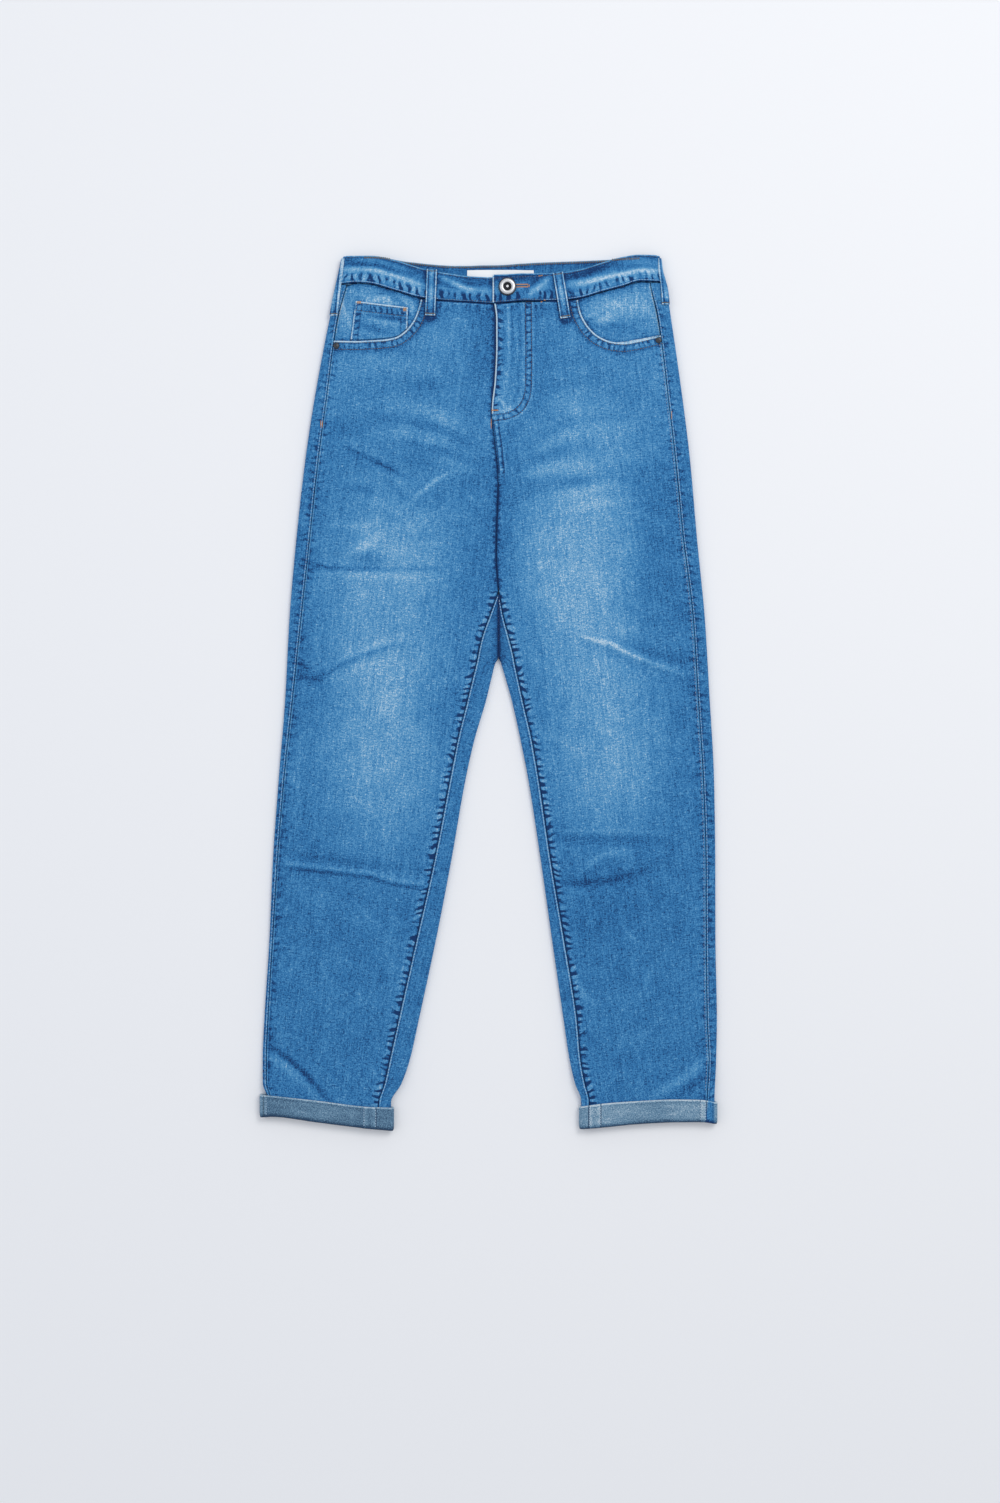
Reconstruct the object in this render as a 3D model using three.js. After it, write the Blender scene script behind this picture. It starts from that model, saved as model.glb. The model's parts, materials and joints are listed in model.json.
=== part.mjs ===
import * as THREE from "three";

// High-waisted jeans laid flat on their back, front up, hems turned up.
// Millimetres. x runs to the wearer's left, y to the waist, z up from the floor.

// Cloth thicknesses
const denim = 1.2;
const band = 2.6;
const loopCloth = 1.4;
const pocketCloth = 1;
const facingCloth = 0.9;
const zipCloth = 0.8;
const labelCloth = 0.4;
const cuffWall = 2.4;

// Space between pieces sewn edge to edge, and between pieces that lie on each other
const seamGap = 0.4;
const layerGap = 0.3;

// Folded edges: height of the garment above the floor, from the hems to the waistband
const edgeRows = [
  { y: -500, height: 5.8 },
  { y: 20, height: 5.8 },
  { y: 60, height: 6.1 },
  { y: 200, height: 6.6 },
  { y: 330, height: 7 },
  { y: 437, height: 7.5 },
  { y: 465, height: 7.5 },
];
const waistHeight = 8.2;

// Outer fold and side seam of each leg, from the waistband to the hem
const rightSideRows = [
  { y: 491, outer: -163.7 },
  { y: 475, outer: -167.1 },
  { y: 458, outer: -170.9, side: -159.8 },
  { y: 419, outer: -179.4, side: -170.2 },
  { y: 329, outer: -196.3, side: -182.6 },
  { y: 262, outer: -206.4, side: -191.6 },
  { y: 172, outer: -216.6, side: -201.4 },
  { y: 82, outer: -224.4, side: -211.1 },
  { y: -8, outer: -229.2, side: -220.7 },
  { y: -98, outer: -236.5, side: -230.3 },
  { y: -188, outer: -242.9, side: -237.5 },
  { y: -278, outer: -246.9, side: -243 },
  { y: -368, outer: -252.6, side: -248.2 },
  { y: -413, outer: -254.5, side: -250 },
  { y: -440, outer: -254.1, side: -249.6 },
  { y: -455, outer: -249.5, side: -245.4 },
  { y: -500, outer: -249.5, side: -245.4 },
];
const leftSideRows = [
  { y: 491, outer: 192.9 },
  { y: 475, outer: 194.9 },
  { y: 458, outer: 199.7, side: 182.2 },
  { y: 419, outer: 205.9, side: 191.1 },
  { y: 329, outer: 218.8, side: 202.4 },
  { y: 262, outer: 227, side: 210.3 },
  { y: 172, outer: 235, side: 219.4 },
  { y: 82, outer: 243.8, side: 230.5 },
  { y: -8, outer: 249.2, side: 236.1 },
  { y: -98, outer: 254.1, side: 241.8 },
  { y: -188, outer: 255.5, side: 244.7 },
  { y: -278, outer: 255.7, side: 245 },
  { y: -368, outer: 257.3, side: 246.1 },
  { y: -413, outer: 256.5, side: 248.1 },
  { y: -458, outer: 254.4, side: 245.8 },
  { y: -500, outer: 254.4, side: 245.8 },
];

// Inseam and inner fold of each leg, from the crotch to the hem
const rightInnerRows = [
  { y: 114, inseam: 11.1 },
  { y: 87.5, inseam: 1.5 },
  { y: 60.6, inseam: -8 },
  { y: 40, inseam: -12.5, inner: 11.1 },
  { y: 36.6, inseam: -13.1, inner: 8.8 },
  { y: 14, inseam: -18.6, inner: 2.8 },
  { y: -8, inseam: -23.8, inner: -2.5 },
  { y: -53, inseam: -34.9, inner: -15.8 },
  { y: -98, inseam: -43.7, inner: -25.9 },
  { y: -188, inseam: -61.1, inner: -41.7 },
  { y: -278, inseam: -81.3, inner: -59.1 },
  { y: -368, inseam: -101.5, inner: -78.4 },
  { y: -413, inseam: -111.3, inner: -88.5 },
  { y: -440, inseam: -117.3, inner: -97.9 },
  { y: -461, inseam: -123.6, inner: -109.6 },
  { y: -500, inseam: -125, inner: -110 },
];
const leftInnerRows = [
  { y: 114, inseam: 11.9 },
  { y: 87.5, inseam: 16.4 },
  { y: 60.6, inseam: 23.5 },
  { y: 40, inseam: 28.6, inner: 11.9 },
  { y: 36.6, inseam: 29.1, inner: 13 },
  { y: 14, inseam: 33.8, inner: 19.7 },
  { y: -8, inseam: 38.6, inner: 25.9 },
  { y: -53, inseam: 48.9, inner: 35.9 },
  { y: -98, inseam: 56.7, inner: 44.7 },
  { y: -188, inseam: 70.1, inner: 58.6 },
  { y: -278, inseam: 85.4, inner: 71.4 },
  { y: -368, inseam: 99.7, inner: 84.4 },
  { y: -413, inseam: 103.8, inner: 91.1 },
  { y: -440, inseam: 108.6, inner: 97.3 },
  { y: -458, inseam: 113.1, inner: 103.9 },
  { y: -500, inseam: 115, inner: 105.2 },
];

// Seat seam, the lowest point of the crotch fold and the point where four seams meet
const seatX = 11.5;
const crotchFoldY = 40;
const crotchPointY = 114;

// Centre front seam, from the crotch to the waistband
const centreFrontRows = [
  { y: 114, x: 11.5 },
  { y: 151, x: 8.6 },
  { y: 192, x: 9.3 },
  { y: 239, x: 11 },
  { y: 275, x: 7.9 },
  { y: 318, x: 3.5 },
  { y: 352, x: 6.8 },
  { y: 389, x: 8.4 },
  { y: 419, x: 8.4 },
  { y: 440, x: 6.2 },
];

// Waistband: the seam below it and its top edge, on the front and on the back
const frontBandRows = [
  { x: -171, seam: 458.9, top: 490.4 },
  { x: -147, seam: 461, top: 491.1 },
  { x: -132, seam: 459.6, top: 491.1 },
  { x: -104, seam: 451.7, top: 485.8 },
  { x: -75, seam: 443.8, top: 477 },
  { x: -46, seam: 440.4, top: 471.2 },
  { x: -17, seam: 438.8, top: 467.6 },
  { x: 5, seam: 437.4, top: 466.8 },
  { x: 46, seam: 440.4, top: 469 },
  { x: 76, seam: 440.4, top: 470.9 },
  { x: 103, seam: 443.5, top: 475.6 },
  { x: 126, seam: 450.3, top: 482.8 },
  { x: 149, seam: 456.3, top: 489.4 },
  { x: 171, seam: 462.7, top: 492.4 },
  { x: 199, seam: 461.6, top: 491.1 },
];
const backBandRows = [
  { x: -171, seam: 458.9, top: 490.4 },
  { x: -125, seam: 456, top: 490.4 },
  { x: -91, seam: 452.5, top: 485.4 },
  { x: -35, seam: 448.8, top: 480.9 },
  { x: 11, seam: 448, top: 481.3 },
  { x: 51, seam: 450, top: 484.3 },
  { x: 111, seam: 455, top: 486.6 },
  { x: 199, seam: 461.6, top: 491.1 },
];

// The band's left end laps over its right end: edge, reach below it, rise, and step at the top edge
const lapEdge = 4.6;
const underlap = 30;
const lapRise = band + layerGap;
const lapRamp = { from: underlap + 4, to: underlap + 26 };
const lapStep = 2.4;
const lapStepRamp = { from: 20, to: 120 };

// Pocket mouths, from the waistband to the side seam
const rightMouth = [
  { x: -76.2, y: 441.6 },
  { x: -77.6, y: 434.5 },
  { x: -83.4, y: 418.6 },
  { x: -92, y: 407.1 },
  { x: -103.5, y: 398.6 },
  { x: -117.8, y: 396.6 },
  { x: -146.5, y: 395 },
  { x: -175.2, y: 395.7 },
];
const leftMouth = [
  { x: 100.5, y: 441.2 },
  { x: 102.7, y: 427.7 },
  { x: 109.5, y: 414.1 },
  { x: 120, y: 402.2 },
  { x: 135.1, y: 394.5 },
  { x: 153.1, y: 392.3 },
  { x: 171.2, y: 396.1 },
  { x: 194.5, y: 401.8 },
];

// A facing lies this far below the front and reaches this far under it
const facingDrop = 2.3;
const facingTuck = 9;
const facingTurn = 2.2;
const facingClearance = { start: 2, corner: 4, end: 1 };

// Side of the garment at the hip and at the waist seam
const hipY = 420;
const waistSeamY = 458;

// Yoke seam: where it meets each side and the seat seam
const yokeCentreY = 377;
const yokeRightY = 429;
const yokeLeftY = 441;

// Back pockets, the same on each side of the seat seam
const backPocket = { fromSeat: 100, top: 372, shoulder: 246, point: 228, topWidth: 140, lowWidth: 118 };

// The back is flat over a pocket or loop and comes down to the floor over the ramp beyond the margin
const pocketRamp = { margin: 19, ramp: 11 };
const loopRamp = { margin: 15, ramp: 12 };

// Belt loops
const loopWidth = 11.2;
const loopBow = 0.5;
const loopSlant = 0.2;
const frontLoops = [
  { name: "loop_front_right", topX: -63.6, topY: 475.3, lowX: -65.6, lowY: 423.6 },
  { name: "loop_front_left", topX: 77.9, topY: 471.9, lowX: 86.5, lowY: 420.8 },
];
const sideLoops = [
  { name: "loop_side_right", side: "right", topY: 488, lowY: 423.5 },
  { name: "loop_side_left", side: "left", topY: 488, lowY: 436 },
];
const backLoop = { x: 11.5, topY: 480, lowY: 433 };

// Turned-up hems: upper and lower edge across the leg
const rightCuff = {
  outer: -257.6,
  inner: -106.3,
  rows: [
    { x: -258, top: -451.8, low: -477.6 },
    { x: -245, top: -453.2, low: -476.4 },
    { x: -191, top: -459, low: -482.9 },
    { x: -138, top: -465.5, low: -489.5 },
    { x: -106, top: -466.8, low: -492.6 },
  ],
};
const leftCuff = {
  outer: 257.6,
  inner: 101.7,
  rows: [
    { x: 102, top: -465.8, low: -490.6 },
    { x: 126, top: -462.3, low: -488.7 },
    { x: 171, top: -459, low: -484.4 },
    { x: 210, top: -457.4, low: -482.6 },
    { x: 239, top: -457.8, low: -482.4 },
    { x: 258, top: -461.2, low: -485.1 },
  ],
};
const cuffRise = cuffWall + layerGap;

// A leg end is raised inside its cuff and comes down above it; its lowest rows follow the hem's slant
const cuffRamp = { from: -446, to: -408 };
const slantRamp = { from: -460, to: -395 };

// The front rises from its edges to a low crown, and shows no relief at its edges or inside a cuff
const crown = { height: 0.6, from: 5, to: 50 };
const reliefRamp = { from: 4, to: 16 };
const reliefStart = { from: -450, to: -425 };

// The left front lies over the right one at the fly: across the fly, and at two heights
const flyRamp = { from: 14, to: 40 };
const flySteps = [
  { from: 300, to: 330, rise: 0.7 },
  { from: 400, to: 440, rise: 1.1 },
];

// Largest folds of the front: a soft ridge (height above 0) or trough between two points
const folds = [
  { x1: -160, y1: 275, x2: -86, y2: 244, width: 9, height: -0.9 },
  { x1: -201, y1: 152, x2: -113, y2: 138, width: 9, height: -0.9 },
  { x1: -197, y1: 15, x2: -98, y2: 50, width: 9, height: 1 },
  { x1: -193, y1: 30, x2: -104, y2: 66, width: 8, height: -0.7 },
  { x1: -236, y1: -191, x2: -133, y2: -204, width: 8, height: 1.2 },
  { x1: -133, y1: -204, x2: -50, y2: -216, width: 8, height: 1.2 },
  { x1: -230, y1: -174, x2: -60, y2: -196, width: 8, height: -0.9 },
  { x1: -213, y1: -426, x2: -176, y2: -448, width: 8, height: -0.8 },
  { x1: 106, y1: 64, x2: 216, y2: 22, width: 9, height: 1.1 },
  { x1: 100, y1: 48, x2: 205, y2: 8, width: 9, height: -0.7 },
  { x1: 87, y1: -168, x2: 193, y2: -170, width: 10, height: -1 },
  { x1: 90, y1: -186, x2: 220, y2: -188, width: 9, height: 1.1 },
  { x1: 94, y1: -217, x2: 194, y2: -202, width: 9, height: -0.8 },
  { x1: -30, y1: 300, x2: -90, y2: 322, width: 10, height: 0.8 },
  { x1: 45, y1: 268, x2: 120, y2: 300, width: 10, height: 0.8 },
];

// Grid steps of the panels
const frontColumns = 10;
const stripColumns = 2;
const arcColumns = 5;
const underColumns = 9;
const legSpans = [
  { to: -448, steps: 3 },
  { to: -400, steps: 4 },
  { to: -250, steps: 4 },
  { to: -160, steps: 8 },
  { to: -20, steps: 5 },
  { to: 34, steps: 3 },
];
const hemY = -481;
const hemInset = 5;
const pocketBaseY = 300;
const hipRows = 9;
const flyTop = { y: 440, lastRow: 425 };
const bodyRows = 13;
const seatStripRows = 4;
const seatStripStop = 5;
const leastStrip = 0.2;

const colours = {
  denim: { color: 0x4a8bc0, roughness: 0.88, metalness: 0 },
  denimSide: { color: 0x3f7cb2, roughness: 0.88, metalness: 0 },
  denimReverse: { color: 0x6c8fab, roughness: 0.9, metalness: 0 },
  label: { color: 0xf1f2f2, roughness: 0.7, metalness: 0 },
  zipTape: { color: 0x3c4f70, roughness: 0.8, metalness: 0 },
  nickel: { color: 0x9a9da1, roughness: 0.35, metalness: 1 },
};

const lerp = THREE.MathUtils.lerp;
const smooth = THREE.MathUtils.smoothstep;

// A line through one column of a table, smooth and without overshoot
function line(rows, along, across) {
  const points = rows.filter((row) => row[across] !== undefined).sort((a, b) => a[along] - b[along]);
  const at = points.map((row) => row[along]);
  const value = points.map((row) => row[across]);
  const last = at.length - 1;
  const rise = at.slice(1).map((next, k) => (value[k + 1] - value[k]) / (next - at[k]));
  const slope = at.map((_, k) => {
    if (k === 0) return rise[0];
    if (k === last) return rise[last - 1];
    if (rise[k - 1] * rise[k] <= 0) return 0;
    return (2 * rise[k - 1] * rise[k]) / (rise[k - 1] + rise[k]);
  });
  return (where) => {
    if (where <= at[0]) return value[0];
    if (where >= at[last]) return value[last];
    const k = at.findIndex((next) => next > where) - 1;
    const width = at[k + 1] - at[k];
    const t = (where - at[k]) / width;
    const start = (1 + 2 * t) * (1 - t) ** 2 * value[k] + t * (1 - t) ** 2 * width * slope[k];
    const end = t * t * (3 - 2 * t) * value[k + 1] + t * t * (t - 1) * width * slope[k + 1];
    return start + end;
  };
}

// A point at a share of the length of a polyline
function alongPath(path, share) {
  const lengths = path.slice(1).map((p, k) => Math.hypot(p.x - path[k].x, p.y - path[k].y));
  let rest = share * lengths.reduce((sum, length) => sum + length, 0);
  for (let k = 0; k < lengths.length; k++) {
    if (rest <= lengths[k] || k === lengths.length - 1) {
      const t = Math.min(rest / lengths[k], 1);
      return { x: lerp(path[k].x, path[k + 1].x, t), y: lerp(path[k].y, path[k + 1].y, t) };
    }
    rest -= lengths[k];
  }
}

const edgeHeight = line(edgeRows, "y", "height");
const centreFront = line(centreFrontRows, "y", "x");

const right = {
  sign: -1,
  outer: line(rightSideRows, "y", "outer"),
  side: line(rightSideRows, "y", "side"),
  inseam: line(rightInnerRows, "y", "inseam"),
  inner: line(rightInnerRows, "y", "inner"),
  mouth: rightMouth,
  yokeSideY: yokeRightY,
  cuff: rightCuff,
};
const left = {
  sign: 1,
  outer: line(leftSideRows, "y", "outer"),
  side: line(leftSideRows, "y", "side"),
  inseam: line(leftInnerRows, "y", "inseam"),
  inner: line(leftInnerRows, "y", "inner"),
  mouth: leftMouth,
  yokeSideY: yokeLeftY,
  cuff: leftCuff,
};
for (const leg of [right, left]) {
  leg.cuffTop = line(leg.cuff.rows, "x", "top");
  leg.cuffLow = line(leg.cuff.rows, "x", "low");
}
const frontSeam = line(frontBandRows, "x", "seam");
const frontTop = line(frontBandRows, "x", "top");
const backSeam = line(backBandRows, "x", "seam");
const backTop = line(backBandRows, "x", "top");

// Share of 1 inside a box in x and y, falling to 0 over the ramp outside its margin
function plateau(x, y, box, { margin, ramp }) {
  const away = Math.max(box.left - x, x - box.right, box.low - y, y - box.high, 0);
  return 1 - smooth(away, margin, margin + ramp);
}

// How far a leg end is raised into its cuff
const cuffLift = (y) => cuffRise * (1 - smooth(y, cuffRamp.from, cuffRamp.to));

const pocketBoxes = [right, left].map((leg) => {
  const middle = seatX + leg.sign * backPocket.fromSeat;
  const half = backPocket.topWidth / 2;
  return { left: middle - half, right: middle + half, low: backPocket.point, high: backPocket.top };
});
const loopHalf = loopWidth / 2;
const backLoopBox = {
  left: backLoop.x - loopHalf,
  right: backLoop.x + loopHalf,
  low: backLoop.lowY,
  high: backLoop.topY,
};

// Lower face of the backs and of the back waistband
function underside(x, y) {
  const pockets = Math.max(...pocketBoxes.map((box) => plateau(x, y, box, pocketRamp)));
  const loop = plateau(x, y, backLoopBox, loopRamp);
  return (pocketCloth + layerGap) * pockets + (loopCloth + layerGap) * loop + cuffLift(y);
}

// Height of the folds at a point
function foldRelief(x, y) {
  let height = 0;
  for (const fold of folds) {
    const dx = fold.x2 - fold.x1;
    const dy = fold.y2 - fold.y1;
    const length = Math.hypot(dx, dy);
    const along = ((x - fold.x1) * dx + (y - fold.y1) * dy) / length;
    const across = ((x - fold.x1) * dy - (y - fold.y1) * dx) / length;
    const past = Math.max(-along, along - length, 0);
    const away = Math.hypot(across, past) / fold.width;
    height += fold.height * Math.exp(-away * away);
  }
  return height;
}

// Upper face of the fronts; the relief fades out towards the folded edges
function upperside(leg, x, y) {
  const fromOuter = leg.sign * (leg.outer(y) - x);
  const fromInner = y < crotchFoldY ? leg.sign * (x - leg.inner(y)) : Infinity;
  const inside = Math.min(fromOuter, fromInner);
  const rise = crown.height * smooth(inside, crown.from, crown.to);
  const free = smooth(inside, reliefRamp.from, reliefRamp.to) * smooth(y, reliefStart.from, reliefStart.to);
  return edgeHeight(y) + cuffLift(y) + (rise + foldRelief(x, y)) * free;
}

// Rise of the left front over the right one along the fly
function flyRise(x, y) {
  const near = 1 - smooth(x - centreFront(y), flyRamp.from, flyRamp.to);
  return near * flySteps.reduce((sum, step) => sum + step.rise * smooth(y, step.from, step.to), 0);
}

// A closed solid of cloth: a grid of points in the middle of the cloth, thickened along its normals.
// A missing point leaves an opening; a closed grid joins its last column to its first.
function sheet(grid, thickness, { closed = false, within = (p) => p } = {}) {
  const rows = grid.length;
  const columns = grid[0].length;
  const wrap = (i) => (closed ? (i + columns) % columns : i);
  const point = (j, i) => (grid[j] && grid[j][wrap(i)]) || null;
  const cell = (j, i) => {
    if (!closed && (i < 0 || i >= columns - 1)) return false;
    return Boolean(point(j, i) && point(j, i + 1) && point(j + 1, i) && point(j + 1, i + 1));
  };
  const positions = [];
  const faces = [];
  const upper = grid.map(() => []);
  const lower = grid.map(() => []);
  for (let j = 0; j < rows; j++) {
    for (let i = 0; i < columns; i++) {
      const p = point(j, i);
      if (!p) continue;
      const beside = [point(j, i + 1) || p, point(j, i - 1) || p];
      const above = [point(j + 1, i) || p, point(j - 1, i) || p];
      const normal = new THREE.Vector3()
        .subVectors(beside[0], beside[1])
        .cross(new THREE.Vector3().subVectors(above[0], above[1]))
        .normalize();
      const half = (typeof thickness === "function" ? thickness(j, i) : thickness) / 2;
      const top = within(p.clone().addScaledVector(normal, half), j, i);
      const bottom = within(p.clone().addScaledVector(normal, -half), j, i);
      upper[j][i] = positions.push(top) - 1;
      lower[j][i] = positions.push(bottom) - 1;
    }
  }
  const quad = (a, b, c, d) => faces.push(a, b, c, a, c, d);
  for (let j = 0; j < rows - 1; j++) {
    for (let i = 0; i < (closed ? columns : columns - 1); i++) {
      if (!cell(j, i)) continue;
      const n = wrap(i + 1);
      const corners = [[j, i], [j, n], [j + 1, n], [j + 1, i]];
      const [a, b, c, d] = corners.map(([row, column]) => upper[row][column]);
      const [e, f, g, h] = corners.map(([row, column]) => lower[row][column]);
      quad(a, b, c, d);
      quad(h, g, f, e);
      if (!cell(j - 1, i)) quad(b, a, e, f);
      if (!cell(j, closed ? wrap(i + 1) : i + 1)) quad(c, b, f, g);
      if (!cell(j + 1, i)) quad(d, c, g, h);
      if (!cell(j, closed ? wrap(i - 1) : i - 1)) quad(a, d, h, e);
    }
  }
  const geometry = new THREE.BufferGeometry();
  const coordinates = positions.flatMap((p) => p.toArray());
  geometry.setAttribute("position", new THREE.Float32BufferAttribute(coordinates, 3));
  geometry.setIndex(faces);
  geometry.computeVertexNormals();
  return geometry;
}

const jeans = new THREE.Group();
jeans.name = "jeans";

function add(name, geometry, colour) {
  const mesh = new THREE.Mesh(geometry, new THREE.MeshStandardMaterial(colours[colour]));
  mesh.name = name;
  jeans.add(mesh);
}

// Heights of the rows of a leg, hem first
function legRowYs() {
  const ys = [hemY];
  for (const span of legSpans) {
    const from = ys[ys.length - 1];
    for (let k = 1; k <= span.steps; k++) ys.push(lerp(from, span.to, k / span.steps));
  }
  return ys;
}

// A row's height at a point: the lowest rows follow the slant of the hem
function slanted(leg, rowY, x) {
  const level = 1 - smooth(rowY, slantRamp.from, slantRamp.to);
  const middle = (leg.cuff.outer + leg.cuff.inner) / 2;
  const hemShift = leg.cuffLow(x) - leg.cuffLow(middle);
  const hem = leg.cuffLow(x) + hemInset;
  return Math.max(rowY + hemShift * level, hem);
}

// Where a leg row meets the side seam or the inseam, on the row's own slant
function seamPoint(leg, seam, rowY) {
  const y = slanted(leg, rowY, leg[seam](rowY));
  return { x: leg[seam](y), y };
}

// Front panels

// Straight rows run from the side seam and the pocket mouth to the inseam and the centre front
function frontGrid(leg) {
  const gap = (seamGap / 2) * leg.sign;
  const mouth = [...leg.mouth].reverse();
  const grid = [];
  for (const rowY of legRowYs()) {
    const side = seamPoint(leg, "side", rowY);
    const inseam = seamPoint(leg, "inseam", rowY);
    grid.push(frontRow(leg, { x: side.x - gap, y: rowY }, { x: inseam.x + gap, y: rowY }, rowY));
  }
  const side = (y) => ({ x: leg.side(y) - gap, y });
  const centre = (y) => frontEdge(leg, y);
  const legTopY = legSpans[legSpans.length - 1].to;
  const sidePath = sampled(legTopY, pocketBaseY, 8, side);
  const centrePath = sampled(legTopY, pocketBaseY, 8, centre);
  for (let k = 1; k <= hipRows; k++) {
    grid.push(frontRow(leg, alongPath(sidePath, k / hipRows), alongPath(centrePath, k / hipRows)));
  }
  const outerPath = [...sampled(pocketBaseY, mouth[0].y - 2, 3, side), ...mouth];
  const topX = centreFront(flyTop.y) + gap;
  const innerPath = [
    ...sampled(pocketBaseY, flyTop.lastRow, 4, centre),
    { x: topX, y: frontSeam(topX) - seamGap },
  ];
  for (let k = 1; k <= bodyRows; k++) {
    grid.push(frontRow(leg, alongPath(outerPath, k / bodyRows), alongPath(innerPath, k / bodyRows)));
  }
  return grid;
}

// Points of a path at even steps of one coordinate
function sampled(from, to, steps, at) {
  return Array.from({ length: steps + 1 }, (_, k) => at(lerp(from, to, k / steps)));
}

// Inner edge of a front panel: the inseam up to the crotch, then the centre front
function frontEdge(leg, y) {
  const gap = (seamGap / 2) * leg.sign;
  if (y < crotchPointY) return { x: leg.inseam(y) + gap, y };
  return { x: centreFront(y) + gap, y };
}

// One row of a front, from the side to the centre
function frontRow(leg, from, to, slantY) {
  return Array.from({ length: frontColumns + 1 }, (_, i) => {
    const x = lerp(from.x, to.x, i / frontColumns);
    let y = lerp(from.y, to.y, i / frontColumns);
    if (slantY !== undefined) y = slanted(leg, slantY, x);
    y = Math.min(y, frontSeam(x) - seamGap);
    const rise = leg.sign > 0 ? flyRise(x, y) : 0;
    return new THREE.Vector3(x, y, upperside(leg, x, y) + rise - denim / 2);
  });
}

add("front_right", sheet(frontGrid(right), denim), "denim");
add("front_left", sheet(frontGrid(left), denim), "denim");

// Back panels and yokes

// Radius, in the middle of the cloth, of the fold at the edge of the garment
function foldRadius(y) {
  return (edgeHeight(y) - denim) / 2;
}

// One row of a back, from the side seam round the outer fold, under the garment and up to the inseam
function backRow(leg, rowY, { withInner, yAt = (x) => rowY }) {
  const s = leg.sign;
  const row = [];
  const put = (x, y, z) => row.push(new THREE.Vector3(x, y, z));
  const onTop = (x, y) => upperside(leg, x, y) - denim / 2;
  const outerY = yAt(leg.side(rowY));
  const outerRadius = foldRadius(outerY);
  const outerCentre = leg.outer(outerY) - s * (outerRadius + denim / 2);
  const middleZ = (y) => foldRadius(y) + denim / 2 + cuffLift(y);
  const seamX = leg.side(outerY) + (s * seamGap) / 2;
  const startX = s * (outerCentre - seamX) > leastStrip ? seamX : outerCentre - leastStrip * s;
  for (let i = 0; i < stripColumns; i++) {
    const x = lerp(startX, outerCentre, i / stripColumns);
    put(x, yAt(x), onTop(x, yAt(x)));
  }
  for (let i = 0; i <= arcColumns; i++) {
    const angle = Math.PI * (0.5 - i / arcColumns);
    const x = outerCentre + s * outerRadius * Math.cos(angle);
    put(x, outerY, middleZ(outerY) + outerRadius * Math.sin(angle));
  }
  const innerY = withInner ? yAt(leg.inner(rowY)) : rowY;
  const innerRadius = foldRadius(innerY);
  const seatEdge = seatX + (s * seamGap) / 2;
  const innerCentre = withInner ? leg.inner(innerY) + s * (innerRadius + denim / 2) : seatEdge;
  for (let i = 1; i <= underColumns; i++) {
    const x = lerp(outerCentre, innerCentre, i / underColumns);
    put(x, yAt(x), underside(x, yAt(x)) + denim / 2);
  }
  if (!withInner) {
    for (let i = 0; i < arcColumns + stripColumns; i++) row.push(null);
    return row;
  }
  for (let i = 1; i <= arcColumns; i++) {
    const angle = Math.PI * (i / arcColumns - 0.5);
    const x = innerCentre - s * innerRadius * Math.cos(angle);
    put(x, innerY, middleZ(innerY) + innerRadius * Math.sin(angle));
  }
  const inseamX = seamPoint(leg, "inseam", rowY).x - (s * seamGap) / 2;
  for (let i = 1; i <= stripColumns; i++) {
    const x = lerp(innerCentre, inseamX, i / stripColumns);
    put(x, yAt(x), onTop(x, yAt(x)));
  }
  return row;
}

// The row at the crotch: the fold turns from under the garment up to the seat seam on its front
function crotchRow(leg) {
  const s = leg.sign;
  const radius = foldRadius(crotchFoldY);
  const y = crotchFoldY + radius;
  const row = backRow(leg, y, { withInner: false });
  const edgeX = seatX + (s * seamGap) / 2;
  const firstArc = row.length - arcColumns - stripColumns;
  for (let i = 1; i <= arcColumns; i++) {
    const angle = Math.PI * (i / arcColumns - 0.5);
    const turnY = y - radius * Math.cos(angle);
    row[firstArc + i - 1] = new THREE.Vector3(edgeX, turnY, radius + denim / 2 + radius * Math.sin(angle));
  }
  for (let i = 1; i <= stripColumns; i++) row[firstArc + arcColumns + i - 1] = seatStripPoint(leg, y, i);
  return row;
}

// A point on the strip between the seat seam and the inseam, above the crotch fold
function seatStripPoint(leg, y, i) {
  const edgeX = seatX + (leg.sign * seamGap) / 2;
  const inseamX = leg.inseam(y) - leg.sign * seamGap;
  const x = lerp(edgeX, inseamX, i / stripColumns);
  return new THREE.Vector3(x, y, upperside(leg, x, y) - denim / 2);
}

// Seam between a back and its yoke, and between a yoke and the waistband
function yokeSeam(leg, x) {
  const share = Math.min(Math.abs(x - seatX) / Math.abs(leg.side(hipY) - seatX), 1);
  return lerp(yokeCentreY, leg.yokeSideY, share);
}

function backGrid(leg) {
  const legRow = (rowY) => backRow(leg, rowY, { withInner: true, yAt: (x) => slanted(leg, rowY, x) });
  const grid = legRowYs().map(legRow);
  grid.push(crotchRow(leg));
  const firstY = crotchFoldY + foldRadius(crotchFoldY);
  const seatTopY = crotchPointY - seatStripStop;
  for (let k = 1; k <= bodyRows; k++) {
    const share = k / bodyRows;
    const yAt = (x) => lerp(firstY, yokeSeam(leg, x) - seamGap / 2, share);
    const row = backRow(leg, lerp(firstY, leg.yokeSideY, share), { withInner: false, yAt });
    if (k <= seatStripRows) {
      const y = lerp(firstY, seatTopY, k / seatStripRows);
      const first = row.length - stripColumns - 1;
      for (let i = 0; i <= stripColumns; i++) row[first + i] = seatStripPoint(leg, y, i);
    }
    grid.push(row);
  }
  return grid;
}

// Each leg keeps to its own side of the seat seam
function ownSide(leg) {
  const limit = seatX + (leg.sign * seamGap) / 2;
  return (p) => {
    if (leg.sign * (p.x - limit) < 0) p.x = limit;
    return p;
  };
}

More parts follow.
